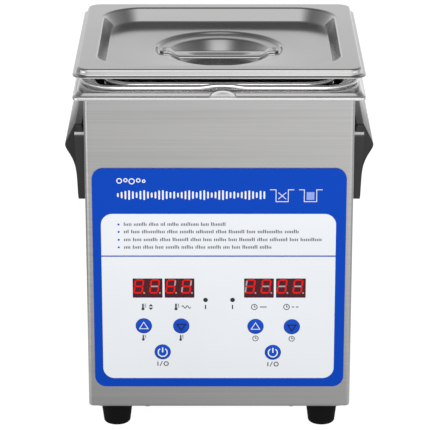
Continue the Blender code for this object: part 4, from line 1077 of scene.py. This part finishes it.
BASE_SCREW_X, BASE_SCREW_Y = 45, 66.6
BASE_SCREW_HEAD = ((0.3, 14.25), (1.4, 14.3), (2.1, 14.55), (2.5, 15.0), (2.6, 15.6))
base_screws = [(x, y) for y in (-BASE_SCREW_Y, BASE_SCREW_Y) for x in (-BASE_SCREW_X, BASE_SCREW_X)]
for i, centre in enumerate(base_screws):
    screw = finish("base_screw_%d" % (i + 1), turned(BASE_SCREW_HEAD, centre, 24), STEEL_ZINC,
                   smooth=50)
    cut_cross(screw, centre, reach=1.5, half_width=0.28, low=13.5, high=14.8)

FOOT_SCREW_HEAD = ((0.4, 0.0), (1.8, 0.1), (2.9, 0.6), (3.6, 1.5), (3.8, 2.4))  # (radius, height)
for node in [n for n in nodes if n.startswith("foot_screw")]:
    low, high = box_mm(node)
    centre = middle_xy(low, high)
    base = low[2]
    profile = [(radius, base + height) for radius, height in FOOT_SCREW_HEAD]
    profile += [(3.8, 6.7), (2.0, 6.7), (2.0, high[2])]
    screw = finish(node + "_head", turned(profile, centre, 28), STEEL_ZINC,
                   node, smooth=50)
    cut_cross(screw, centre, reach=2.3, half_width=0.4, low=base - 1, high=base + 1.3)

# ================================================================ lid
lid_low, lid_high = box_mm("lid_pan")
LID_X, LID_Y, LID_TOP = lid_high
LID_SHEET = 0.8
PAN_X, PAN_Y, PAN_RADIUS = 68.5, 61.9, 18.8  # foot of the sunk pan's wall
PAN_Z = 228.2  # upper face of the pan's floor
BOWL_Z = lid_low[2] + LID_SHEET  # upper face of the round bowl's floor
HEM_Z = 231.4  # bottom edge of the lid's rim
PAN_BEND = 1.2  # smaller radius of the two bends in the pan's wall
BEND_OUTSIDE = PAN_BEND + LID_SHEET


def rim_ring(inset, radius, z):
    return rounded_ring(LID_X - inset, LID_Y - inset, radius, z, 14, 12)


def rim_rings(datum, rows):
    """Rings from rows of (inset, corner radius, height over datum)."""
    return [rim_ring(inset, radius, datum + z) for inset, radius, z in rows]


def pan_ring(offset, z):
    return rounded_ring(PAN_X + offset, PAN_Y + offset, PAN_RADIUS + offset, z, 14, 12)


def upper_bend(radius, start, end, steps):
    """The bend from the lid's flat border down into the pan's wall."""
    return [pan_ring(*p) for p in arc(6.7, LID_TOP - BEND_OUTSIDE, radius, start, end, steps)]


def lower_bend(radius, start, end, steps):
    """The bend from the pan's wall into its floor."""
    return [pan_ring(*p) for p in arc(0.06, PAN_Z + PAN_BEND, radius, start, end, steps)]


def lid_rings():
    """The underside from the bowl's middle out to the rim, then the upper face back in."""
    pan_edge = pan_ring(-6.3, PAN_Z)

    def bowl_rings(datum, rows):
        """Round rings from rows of (radius, height over datum)."""
        return [round_like(pan_edge, radius, datum + z) for radius, z in rows]

    under_pan = PAN_Z - LID_SHEET
    rings = bowl_rings(BOWL_Z - LID_SHEET, (
        (4.0, 0.0), (20.5, 0.0), (22.8, 0.1), (24.9, 0.7), (26.4, 2.0),
    ))
    rings += bowl_rings(PAN_Z, ((28.3, -8.1), (31.2, -3.6), (31.9, -3.15)))
    rings += bowl_rings(under_pan, (
        (33.0, -2.2), (37.8, -2.08), (38.9, -1.8), (39.8, -0.9), (40.5, -0.2), (41.2, 0.0),
    ))
    rings += [pan_ring(-6.3, under_pan), pan_ring(-0.6, under_pan)]
    rings += lower_bend(BEND_OUTSIDE, -90, -30, 5) + upper_bend(PAN_BEND, 150, 90, 5)
    rings += [pan_ring(7.2, LID_TOP - LID_SHEET), rim_ring(5.0, 5.6, LID_TOP - LID_SHEET)]
    for inset, z in reversed(arc(4.0, LID_TOP - 1.45, 0.65, 180, 90, 4)):
        rings.append(rim_ring(inset, 6.2, z))
    rings.append(rim_ring(3.3, 6.6, LID_TOP - 1.6))
    rings += rim_rings(HEM_Z, (
        (3.1, 6.9, 2.2), (2.9, 7.0, 1.3), (2.4, 7.1, 0.7), (1.4, 7.5, 0.3), (0.9, 7.8, 0.02),
        # From here on the rings are on the outside.
        (0.5, 8.0, 0.0), (0.15, 8.4, 0.06), (0.0, 8.5, 0.28), (0.03, 8.5, 0.55),
        (0.35, 8.4, 0.78), (1.0, 8.1, 0.9), (1.6, 7.9, 1.02), (2.0, 7.8, 1.24),
        (2.2, 7.8, 1.55), (2.26, 7.8, 1.9), (2.3, 7.8, 2.7), (2.42, 7.8, 3.2), (2.36, 7.8, 3.8),
    ))
    rings.append(rim_ring(2.46, 7.6, LID_TOP - 1.35))
    for inset, z in arc(3.7, LID_TOP - 1.2, 1.2, 180, 90, 9)[1:]:
        rings.append(rim_ring(inset, 7.4 - (inset - 2.5) * 0.3, z))
    rings += [rim_ring(5.0, 6.7, LID_TOP), pan_ring(7.2, LID_TOP)]
    rings += upper_bend(BEND_OUTSIDE, 90, 150, 8) + lower_bend(PAN_BEND, -30, -90, 6)
    rings += [pan_ring(-0.6, PAN_Z), pan_edge]
    rings += bowl_rings(PAN_Z, (
        (41.0, 0.0), (40.5, -0.03), (40.0, -0.16), (39.6, -0.5), (39.1, -1.15), (38.7, -1.65),
        (38.2, -1.95), (37.5, -2.08), (32.6, -2.22), (32.0, -2.27), (31.5, -2.42),
        (31.0, -2.75), (30.5, -3.3), (27.3, -7.9),
    ))
    rings += bowl_rings(BOWL_Z, (
        (25.9, 2.3), (25.0, 1.2), (23.9, 0.45), (22.2, 0.08), (20.0, 0.0), (4.0, 0.0),
    ))
    return rings


finish("lid_pressing", loft(lid_rings()), STEEL_LID, "lid_pan", body="lid", smooth=60)

# ================================================================ lid handle strap
strap_low, strap_high = box_mm("lid_handle_strap")
STRAP_X, STRAP_Y, STRAP_TOP = strap_high
STRAP_BRIDGE = strap_low[2] + 0.85  # mid-thickness of the strap across the bowl
STRAP_END_Y = 4.7  # half width of the flattened ends
# One half of the strap's middle line, from its end inwards: (x, z).
STRAP_LINE = [
    (-STRAP_X, STRAP_TOP - 0.5), (-34.5, STRAP_TOP - 0.5), (-32.0, STRAP_TOP - 0.5),
    (-30.2, STRAP_TOP - 0.75), (-28.0, STRAP_TOP - 2.0),
] + [(x, STRAP_BRIDGE) for x in (-25.8, -22.0, -19.0, -15.5, -12.0, -4.0)]
# Cross-section: (share of half width, height, drop on the bridge, depth of the groove).
STRAP_SECTION = (
    (-1.0, -0.5, 0.55, 0), (-1.0, -0.05, 0.55, 0), (-0.985, 0.22, 0.5, 0), (-0.95, 0.42, 0.36, 0),
    (-0.88, 0.5, 0.16, 0), (-0.62, 0.5, 0.02, 0), (-0.34, 0.5, 0, 0), (-0.24, 0.5, 0, 0.5),
    (-0.14, 0.5, 0, 1.0), (-0.02, 0.5, 0, 0.5), (0.1, 0.5, 0, 0), (0.62, 0.5, 0.02, 0),
    (0.88, 0.5, 0.16, 0), (0.95, 0.42, 0.36, 0), (0.985, 0.22, 0.5, 0), (1.0, -0.05, 0.55, 0),
    (1.0, -0.5, 0.55, 0), (0.8, -0.5, 0.25, 0), (0, -0.5, 0, 0.3), (-0.8, -0.5, 0.25, 0),
)
strap_line = STRAP_LINE + [(-x, z) for x, z in reversed(STRAP_LINE)]
rings = []
for point in smooth_path([(x, 0, z) for x, z in strap_line]):
    end = max(0.0, (abs(point.x) - (STRAP_X - 3.0)) / 3.0)
    bridge = 1 - ease(abs(point.x), 24.0, 31.0)
    groove = 0.62 * (1 - ease(abs(point.x), 13.0, 21.0))
    half_width = STRAP_END_Y + (STRAP_Y - 0.1 - STRAP_END_Y) * bridge
    half_width *= math.sqrt(max(0.04, 1 - 0.75 * end * end))
    rings.append([
        Vector((point.x, half_width * share, point.z + height - drop * bridge - dip * groove))
        for share, height, drop, dip in STRAP_SECTION
    ])
finish("lid_strap_grip", loft(rings), STEEL_LID, "lid_handle_strap", body="lid",
       smooth=45)

# Spot welds: two shallow round dents on each flattened end.
WELD_X, WELD_Y = 34.4, 2.2
WELD = (  # (radius, height over the strap)
    (1.35, -0.25), (1.35, 0.02), (1.05, 0.14), (0.8, 0.08), (0.55, -0.04), (0.15, -0.08),
)
weld_profile = [(radius, STRAP_TOP + height) for radius, height in WELD]
for i, centre in enumerate([(x, y) for x in (-WELD_X, WELD_X) for y in (-WELD_Y, WELD_Y)]):
    finish("lid_spot_weld_%d" % (i + 1), turned(weld_profile, centre, 20), STEEL_ZINC,
           body="lid", smooth=50)

# ================================================================ basket rim
RIM_Z, RIM_WIRE = 223.7, 1.5
BASKET_X, BASKET_Y, BASKET_RADIUS = 69.5, 65.3, 18.0  # half sizes and corner radius of the rim
BAIL_Z, EYE_Y = 224.1, 6.0  # height of the bails, and the places of their eyes
TAB_HALF, TAB_FOOT, TAB_CENTRE = 3.0, 219.2, 224.05


def basket_loop(offset, z, steps, straight):
    return rounded_ring(BASKET_X + offset, BASKET_Y + offset, BASKET_RADIUS + offset, z, steps,
                        straight)


rim = tube(basket_loop(0, RIM_Z, 12, 8), RIM_WIRE, 16, closed=True)
# Tabs on the left and right sides of the rim, each with an eye for a bail's end.
for side_x in (-1, 1):
    for y in (-EYE_Y, EYE_Y):
        outline = [
            (y - TAB_HALF, TAB_FOOT + 0.4), (y - TAB_HALF + 0.4, TAB_FOOT),
            (y + TAB_HALF - 0.4, TAB_FOOT), (y + TAB_HALF, TAB_FOOT + 0.4),
        ] + arc(y, TAB_CENTRE, TAB_HALF, 0, 180, 12)
        x0, x1 = sorted((side_x * 70.4, side_x * 72.55))
        slab(outline, [flat_circle(1.65, (y, BAIL_Z), 24)], x0, x1, "X", rim)
finish("basket_rim", rim, STEEL_WIRE, "basket", body="basket", smooth=50)

# ================================================================ basket mesh
WIRE = 0.5  # radius of the mesh wires
MESH_TOP = RIM_Z - 0.7
MESH_BOTTOM = box_mm("basket")[0][2] + WIRE
MESH_BEND = 5.0  # radius between wall and floor
BEND_Z = MESH_BOTTOM + MESH_BEND
SPAN_X, SPAN_Y = 98.0, 88.0  # spread of the straight wires
basket_wires = bmesh.new()


def mesh_offset(z):
    """How far the wall stands from the rim's line; it leans in towards the floor."""
    share = (z - MESH_BOTTOM) / (MESH_TOP - MESH_BOTTOM)
    return -1.1 - 2.6 * (1 - share)


def wall_and_bend(half, wall_steps, bend_angles):
    """(distance out, z) down the wall and round the bend to the floor."""
    heights = [MESH_TOP - (MESH_TOP - BEND_Z) * k / wall_steps for k in range(wall_steps + 1)]
    points = [(half + mesh_offset(z), z) for z in heights]
    bend_centre = half + mesh_offset(BEND_Z) - MESH_BEND
    for degrees in bend_angles:
        angle = math.radians(degrees)
        points.append(
            (bend_centre + MESH_BEND * math.cos(angle), BEND_Z - MESH_BEND * math.sin(angle))
        )
    return points


def u_wire(half):
    """Down one wall, across the floor and up the other."""
    side = wall_and_bend(half, 5, (20, 45, 70, 90))
    return side + [(0.0, MESH_BOTTOM)] + [(-out, z) for out, z in reversed(side)]


# The wires along X lie on top of those along Y.
for i in range(17):
    y = -SPAN_Y / 2 + SPAN_Y * i / 16
    tube([(x, y, z + 0.9) for x, z in u_wire(BASKET_X)], WIRE, 6, shape=basket_wires)
for i in range(19):
    x = -SPAN_X / 2 + SPAN_X * i / 18
    tube([(x, y, z) for y, z in u_wire(BASKET_Y)], WIRE, 6, shape=basket_wires)
# Five wires fan out round each corner.
for side_x, side_y in ((1, 1), (-1, 1), (-1, -1), (1, -1)):
    for step in range(5):
        angle = math.radians(9 + 18 * step)
        path = [
            (side_x * (BASKET_X - BASKET_RADIUS + out * math.cos(angle)),
             side_y * (BASKET_Y - BASKET_RADIUS + out * math.sin(angle)), z)
            for out, z in wall_and_bend(BASKET_RADIUS, 6, (25, 50, 75, 90))
        ]
        tube(path, WIRE, 6, shape=basket_wires)
# Level hoops outside the upright wires.
for k in range(14):
    z = BEND_Z + (MESH_TOP - 3.0 - BEND_Z) * k / 13
    tube(basket_loop(mesh_offset(z) + 0.95, z, 8, 6), WIRE, 6, closed=True, shape=basket_wires)
finish("basket_mesh", basket_wires, STEEL_WIRE, body="basket", smooth=60)

# ================================================================ bails
BAIL_WIRE, BAIL_X, BAIL_Y, BAIL_BEND = 1.4, 83.3, 73.8, 22
# Right half of the hump from its outer end: (distance from the hump's middle, rise).
HUMP = [(40.0, 0.0), (17.0, 0.0), (12.0, 0.15), (7.5, 0.95), (3.0, 1.3)]

bail_right = [(71.4, EYE_Y, 0), (74.6, EYE_Y, 0)]
bail_right += smooth_path(
    [(75.8, EYE_Y, 0), (80.4, 6.6, 0), (BAIL_X, 10.5, 0), (BAIL_X, 16.0, 0)]
)
bail_right += [
    (x, y, 0) for x, y in arc(BAIL_X - BAIL_BEND, BAIL_Y - BAIL_BEND, BAIL_BEND, 0, 90, 14)
]
bail_left = [(-x, y, z) for x, y, z in reversed(bail_right)]
crest = [(HUMP_X + x, BAIL_Y, z) for x, z in HUMP]
crest += [(HUMP_X - x, BAIL_Y, z) for x, z in reversed(HUMP)]
bail_path = bail_right + smooth_path(crest) + bail_left
for side, body in ((-1, "bail_front"), (1, "bail_rear")):
    wire = tube([(x, side * y, BAIL_Z + z) for x, y, z in bail_path], BAIL_WIRE, 16)
    name = "basket_" + body
    finish(name + "_wire", wire, STEEL_WIRE, name, body=body, smooth=50)

# ================================================================ finishes on the CAD pieces
LOOKS = {
    "plated_steel": STEEL_ZINC, "circuit_board": BOARD_GREEN, "aluminium_part": ALUMINIUM,
    "piezo_ceramic": PIEZO, "brass_part": BRASS, "heater_silicone": SILICONE,
    "ferrite": FERRITE, "capacitor_sleeve": SLEEVE, "cable_sheath": CABLE,
    "ribbon_sheath": RIBBON, "black_plastic": BLACK_SMALL, "panel_film": FILM_WHITE,
    "key_film": KEY_BLUE, "display_window": DISPLAY_FACE, "indicator_lens": LENS,
    "foot_rubber": RUBBER, "housing_steel": STEEL_HOUSING, "tank_steel": STEEL_TANK,
    "lid_steel": STEEL_LID, "wire_steel": STEEL_WIRE,
}
SOFTENED = (
    "power_inlet", "fuse_drawer", "base_plate", "heat_sink", "control_board", "generator_board",
)
slot_of = {part["node"]: part["material_slot"] for part in frame["record"]["subparts"]}
for name, obj in nodes.items():
    look = LOOKS[slot_of[name]]
    if not obj.data.materials:
        obj.data.materials.append(look)
    for slot in obj.material_slots:
        slot.material = look
    if name in SOFTENED and not obj.hide_render:
        soften(obj, 0.0003, angle=40)


# ================================================================ floor
def floor_material():
    """A pale sheet that glows by ray: evenly to the camera, unevenly in light and reflections."""
    sheet = Surface("floor_pale")
    blotch = sheet.ramp(sheet.noise(3.0), span=(0.3, 0.7))
    sheet.set(
        Base_Color=sheet.mix(blotch, (0.12,) * 3, (0.14,) * 3),
        Roughness=1.0,
        Specular_IOR_Level=0.0,
        Emission_Color=(1, 1, 1, 1),
    )
    position = sheet.node("NewGeometry").outputs["Position"]
    where = sheet.node("SeparateXYZ", Vector=position)
    x, y = where.outputs["X"], where.outputs["Y"]
    rays = sheet.node("LightPath").outputs

    def forward():
        return sheet.math("MULTIPLY", y, -1.0)

    def off_middle():
        return sheet.math("ABSOLUTE", x, 0.0)

    # In reflections the sheet is darker close to the object and brighter to the right.
    off_axis = sheet.math("ABSOLUTE", sheet.math("ADD", y, 0.0))
    near = sheet.ramp(off_axis, span=(0.08, 0.62), to=(0.40, 0.92))
    side = sheet.ramp(x, span=(-0.16, 0.16), to=(0.78, 1.15))
    # Far out in front it dips, then brightens.
    bright = sheet.ramp(forward(), span=(0.85, 0.90), to=(1.0, 2.30))
    dip = sheet.ramp(forward(), span=(0.58, 0.77), to=(1.0, 0.56))
    outer = sheet.math("MULTIPLY", bright, dip)
    # It darkens to both sides, by a depth that goes down from left to right.
    fall = sheet.ramp(off_middle(), span=(0.24, 0.62))
    deep = sheet.ramp(x, span=(-0.3, 0.3), to=(0.58, 0.15))
    # Between straight ahead and the sides it is brighter, to light the rolled upright edges.
    ahead = sheet.math("MAXIMUM", sheet.math("SUBTRACT", forward(), 0.05), 0.02)
    aside = sheet.math("DIVIDE", sheet.math("SUBTRACT", off_middle(), 0.08), ahead)
    band = sheet.math(
        "MULTIPLY",
        sheet.ramp(aside, span=(0.55, 0.95)),
        sheet.ramp(aside, span=(6.0, 12.0), to=(1.0, 0.0)),
    )
    gain = sheet.ramp(x, span=(-0.25, 0.25), to=(1.3, 0.30))
    dim = sheet.math(
        "MULTIPLY", sheet.math("MULTIPLY", fall, deep), sheet.math("SUBTRACT", 1.0, band)
    )
    flank = sheet.math(
        "ADD", sheet.math("SUBTRACT", 1.0, dim), sheet.math("MULTIPLY", band, gain)
    )
    mirrored = sheet.math(
        "MULTIPLY", sheet.math("MULTIPLY", near, side), sheet.math("MULTIPLY", outer, flank)
    )
    # Matt parts low on the front get less light from the sheet right at their feet.
    shade = sheet.ramp(sheet.math("ABSOLUTE", y, 0.0), span=(0.09, 0.45), to=(0.24, 0.74))
    unseen = sheet.mix(rays["Is Diffuse Ray"], mirrored, shade, data_type="FLOAT")
    glow = sheet.mix(rays["Is Camera Ray"], unseen, 0.97, data_type="FLOAT")
    sheet.set(Emission_Strength=glow)
    return sheet.material


floor_shape = bmesh.new()
bmesh.ops.create_grid(floor_shape, x_segments=2, y_segments=2, size=6.0)
floor_mesh = bpy.data.meshes.new("floor")
floor_shape.to_mesh(floor_mesh)
floor_shape.free()
floor = bpy.data.objects.new("floor", floor_mesh)
bpy.context.scene.collection.objects.link(floor)
floor.data.materials.append(floor_material())
floor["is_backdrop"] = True

# ================================================================ camera
PITCH, DISTANCE, TARGET_Z = math.radians(19.55), 1.5408, 0.1175
camera_data = bpy.data.cameras.new("camera")
camera_data.sensor_width = 36.0
camera_data.lens = 201.6586047
camera_data.shift_x = -0.00976744186
camera_data.clip_start = 0.05
camera_data.clip_end = 50
camera = bpy.data.objects.new("camera", camera_data)
bpy.context.scene.collection.objects.link(camera)
camera.location = (0, -DISTANCE * math.cos(PITCH), TARGET_Z + DISTANCE * math.sin(PITCH))
camera.rotation_euler = (math.pi / 2 - PITCH, 0, 0)
bpy.context.scene.camera = camera


# ================================================================ lights
def area_light(name, location, target, size, power):
    data = bpy.data.lights.new(name, "AREA")
    data.shape = "RECTANGLE"
    data.size, data.size_y = size
    data.energy = power
    obj = bpy.data.objects.new(name, data)
    bpy.context.scene.collection.objects.link(obj)
    obj.location = location
    aim = Vector(target) - Vector(location)
    obj.rotation_euler = aim.to_track_quat("-Z", "Y").to_euler()
    return obj


softbox = area_light("softbox_front", location=(0.35, -2.12, 1.42), target=(0, 0, 0.12),
                     size=(2.6, 0.42), power=26)
softbox.visible_glossy = False
# Strips that only show as reflections: in the rolled tops of the handles, along the wires,
# and a faint one on the lid.
for name, power, names in (
    ("strip_handles", 80, ("handle_left_web", "handle_right_web")),
    ("strip_wires", 10, ("basket_rim", "basket_bail_front_wire", "basket_bail_rear_wire")),
    ("strip_lid", 3, ("lid_pressing", "lid_strap_grip")),
):
    strip = area_light(name, location=(0.0, -2.04, 1.01), target=(0, 0, 0.19),
                       size=(1.6, 1.1), power=power)
    strip.visible_diffuse = False
    strip.visible_camera = False
    shown_on = bpy.data.collections.new(name)
    for piece in bpy.data.objects:
        if piece.name in names:
            shown_on.objects.link(piece)
    strip.light_linking.receiver_collection = shown_on

# ================================================================ world
# (sine of the elevation, brightness): walls and a dim ceiling behind, a big softbox high in
# front, and plain walls at the sides.
SKY_REAR = (
    (0.0, 0.95), (0.20, 0.88), (0.25, 0.79), (0.29, 0.68), (0.36, 0.58), (0.45, 0.48),
    (0.56, 0.36), (0.70, 0.26), (0.90, 0.22), (1.0, 0.20),
)
SKY_FRONT = (
    (0.0, 0.95), (0.22, 0.95), (0.40, 1.45), (0.58, 1.40), (0.70, 0.90), (0.86, 0.84),
    (0.93, 0.34), (0.97, 0.11), (1.0, 0.10),
)
SKY_FLANK = ((0.0, 0.60), (0.30, 0.45), (0.50, 0.28), (0.80, 0.12), (1.0, 0.10))
LIGHT_GREY = (0.80, 0.80, 0.80)  # the even sky that lights matt surfaces

world = bpy.data.worlds.new("studio")
bpy.context.scene.world = world
world.use_nodes = True
sky = Graph(world.node_tree)
direction = sky.node("SeparateXYZ", Vector=sky.node("TexCoord").outputs["Generated"]).outputs
sky_x, sky_y = direction["X"], direction["Y"]


def sky_ramp(stops):
    node = sky.node("ValToRGB", Fac=direction["Z"])
    elements = node.color_ramp.elements
    while len(elements) < len(stops):
        elements.new(0.5)
    for element, (position, value) in zip(elements, stops):
        element.position = position
        element.color = (value, value, value, 1)
    return node.outputs["Color"]


def sky_step(value, low, high):
    return sky.ramp(value, span=(low, high), interpolation="SMOOTHSTEP")


# How far round to the side: 0 straight ahead or behind, 1 at the side.
level_squared = sky.math(
    "ADD", sky.math("MULTIPLY", sky_x, sky_x), sky.math("MULTIPLY", sky_y, sky_y)
)
level = sky.math("SQRT", level_squared, 0.0)
sideways = sky.math(
    "DIVIDE", sky.math("ABSOLUTE", sky_x, 0.0), sky.math("MAXIMUM", level, 0.02)
)
flank = sky_ramp(SKY_FLANK)
front = sky.mix(sky_step(sideways, 0.18, 0.95), sky_ramp(SKY_FRONT), flank)
rear = sky.mix(sky_step(sideways, 0.40, 0.90), sky_ramp(SKY_REAR), flank)
mirrored = sky.mix(sky_step(sky_y, -0.12, 0.22), front, rear)
diffuse_ray = sky.node("LightPath").outputs["Is Diffuse Ray"]
background = sky.tree.nodes["Background"]
sky.feed(background.inputs["Color"], sky.mix(diffuse_ray, mirrored, LIGHT_GREY))
sky.feed(background.inputs["Strength"], 1.0)
bpy.context.scene.view_settings.view_transform = "Standard"
bpy.context.scene.view_settings.look = "None"

low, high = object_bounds()
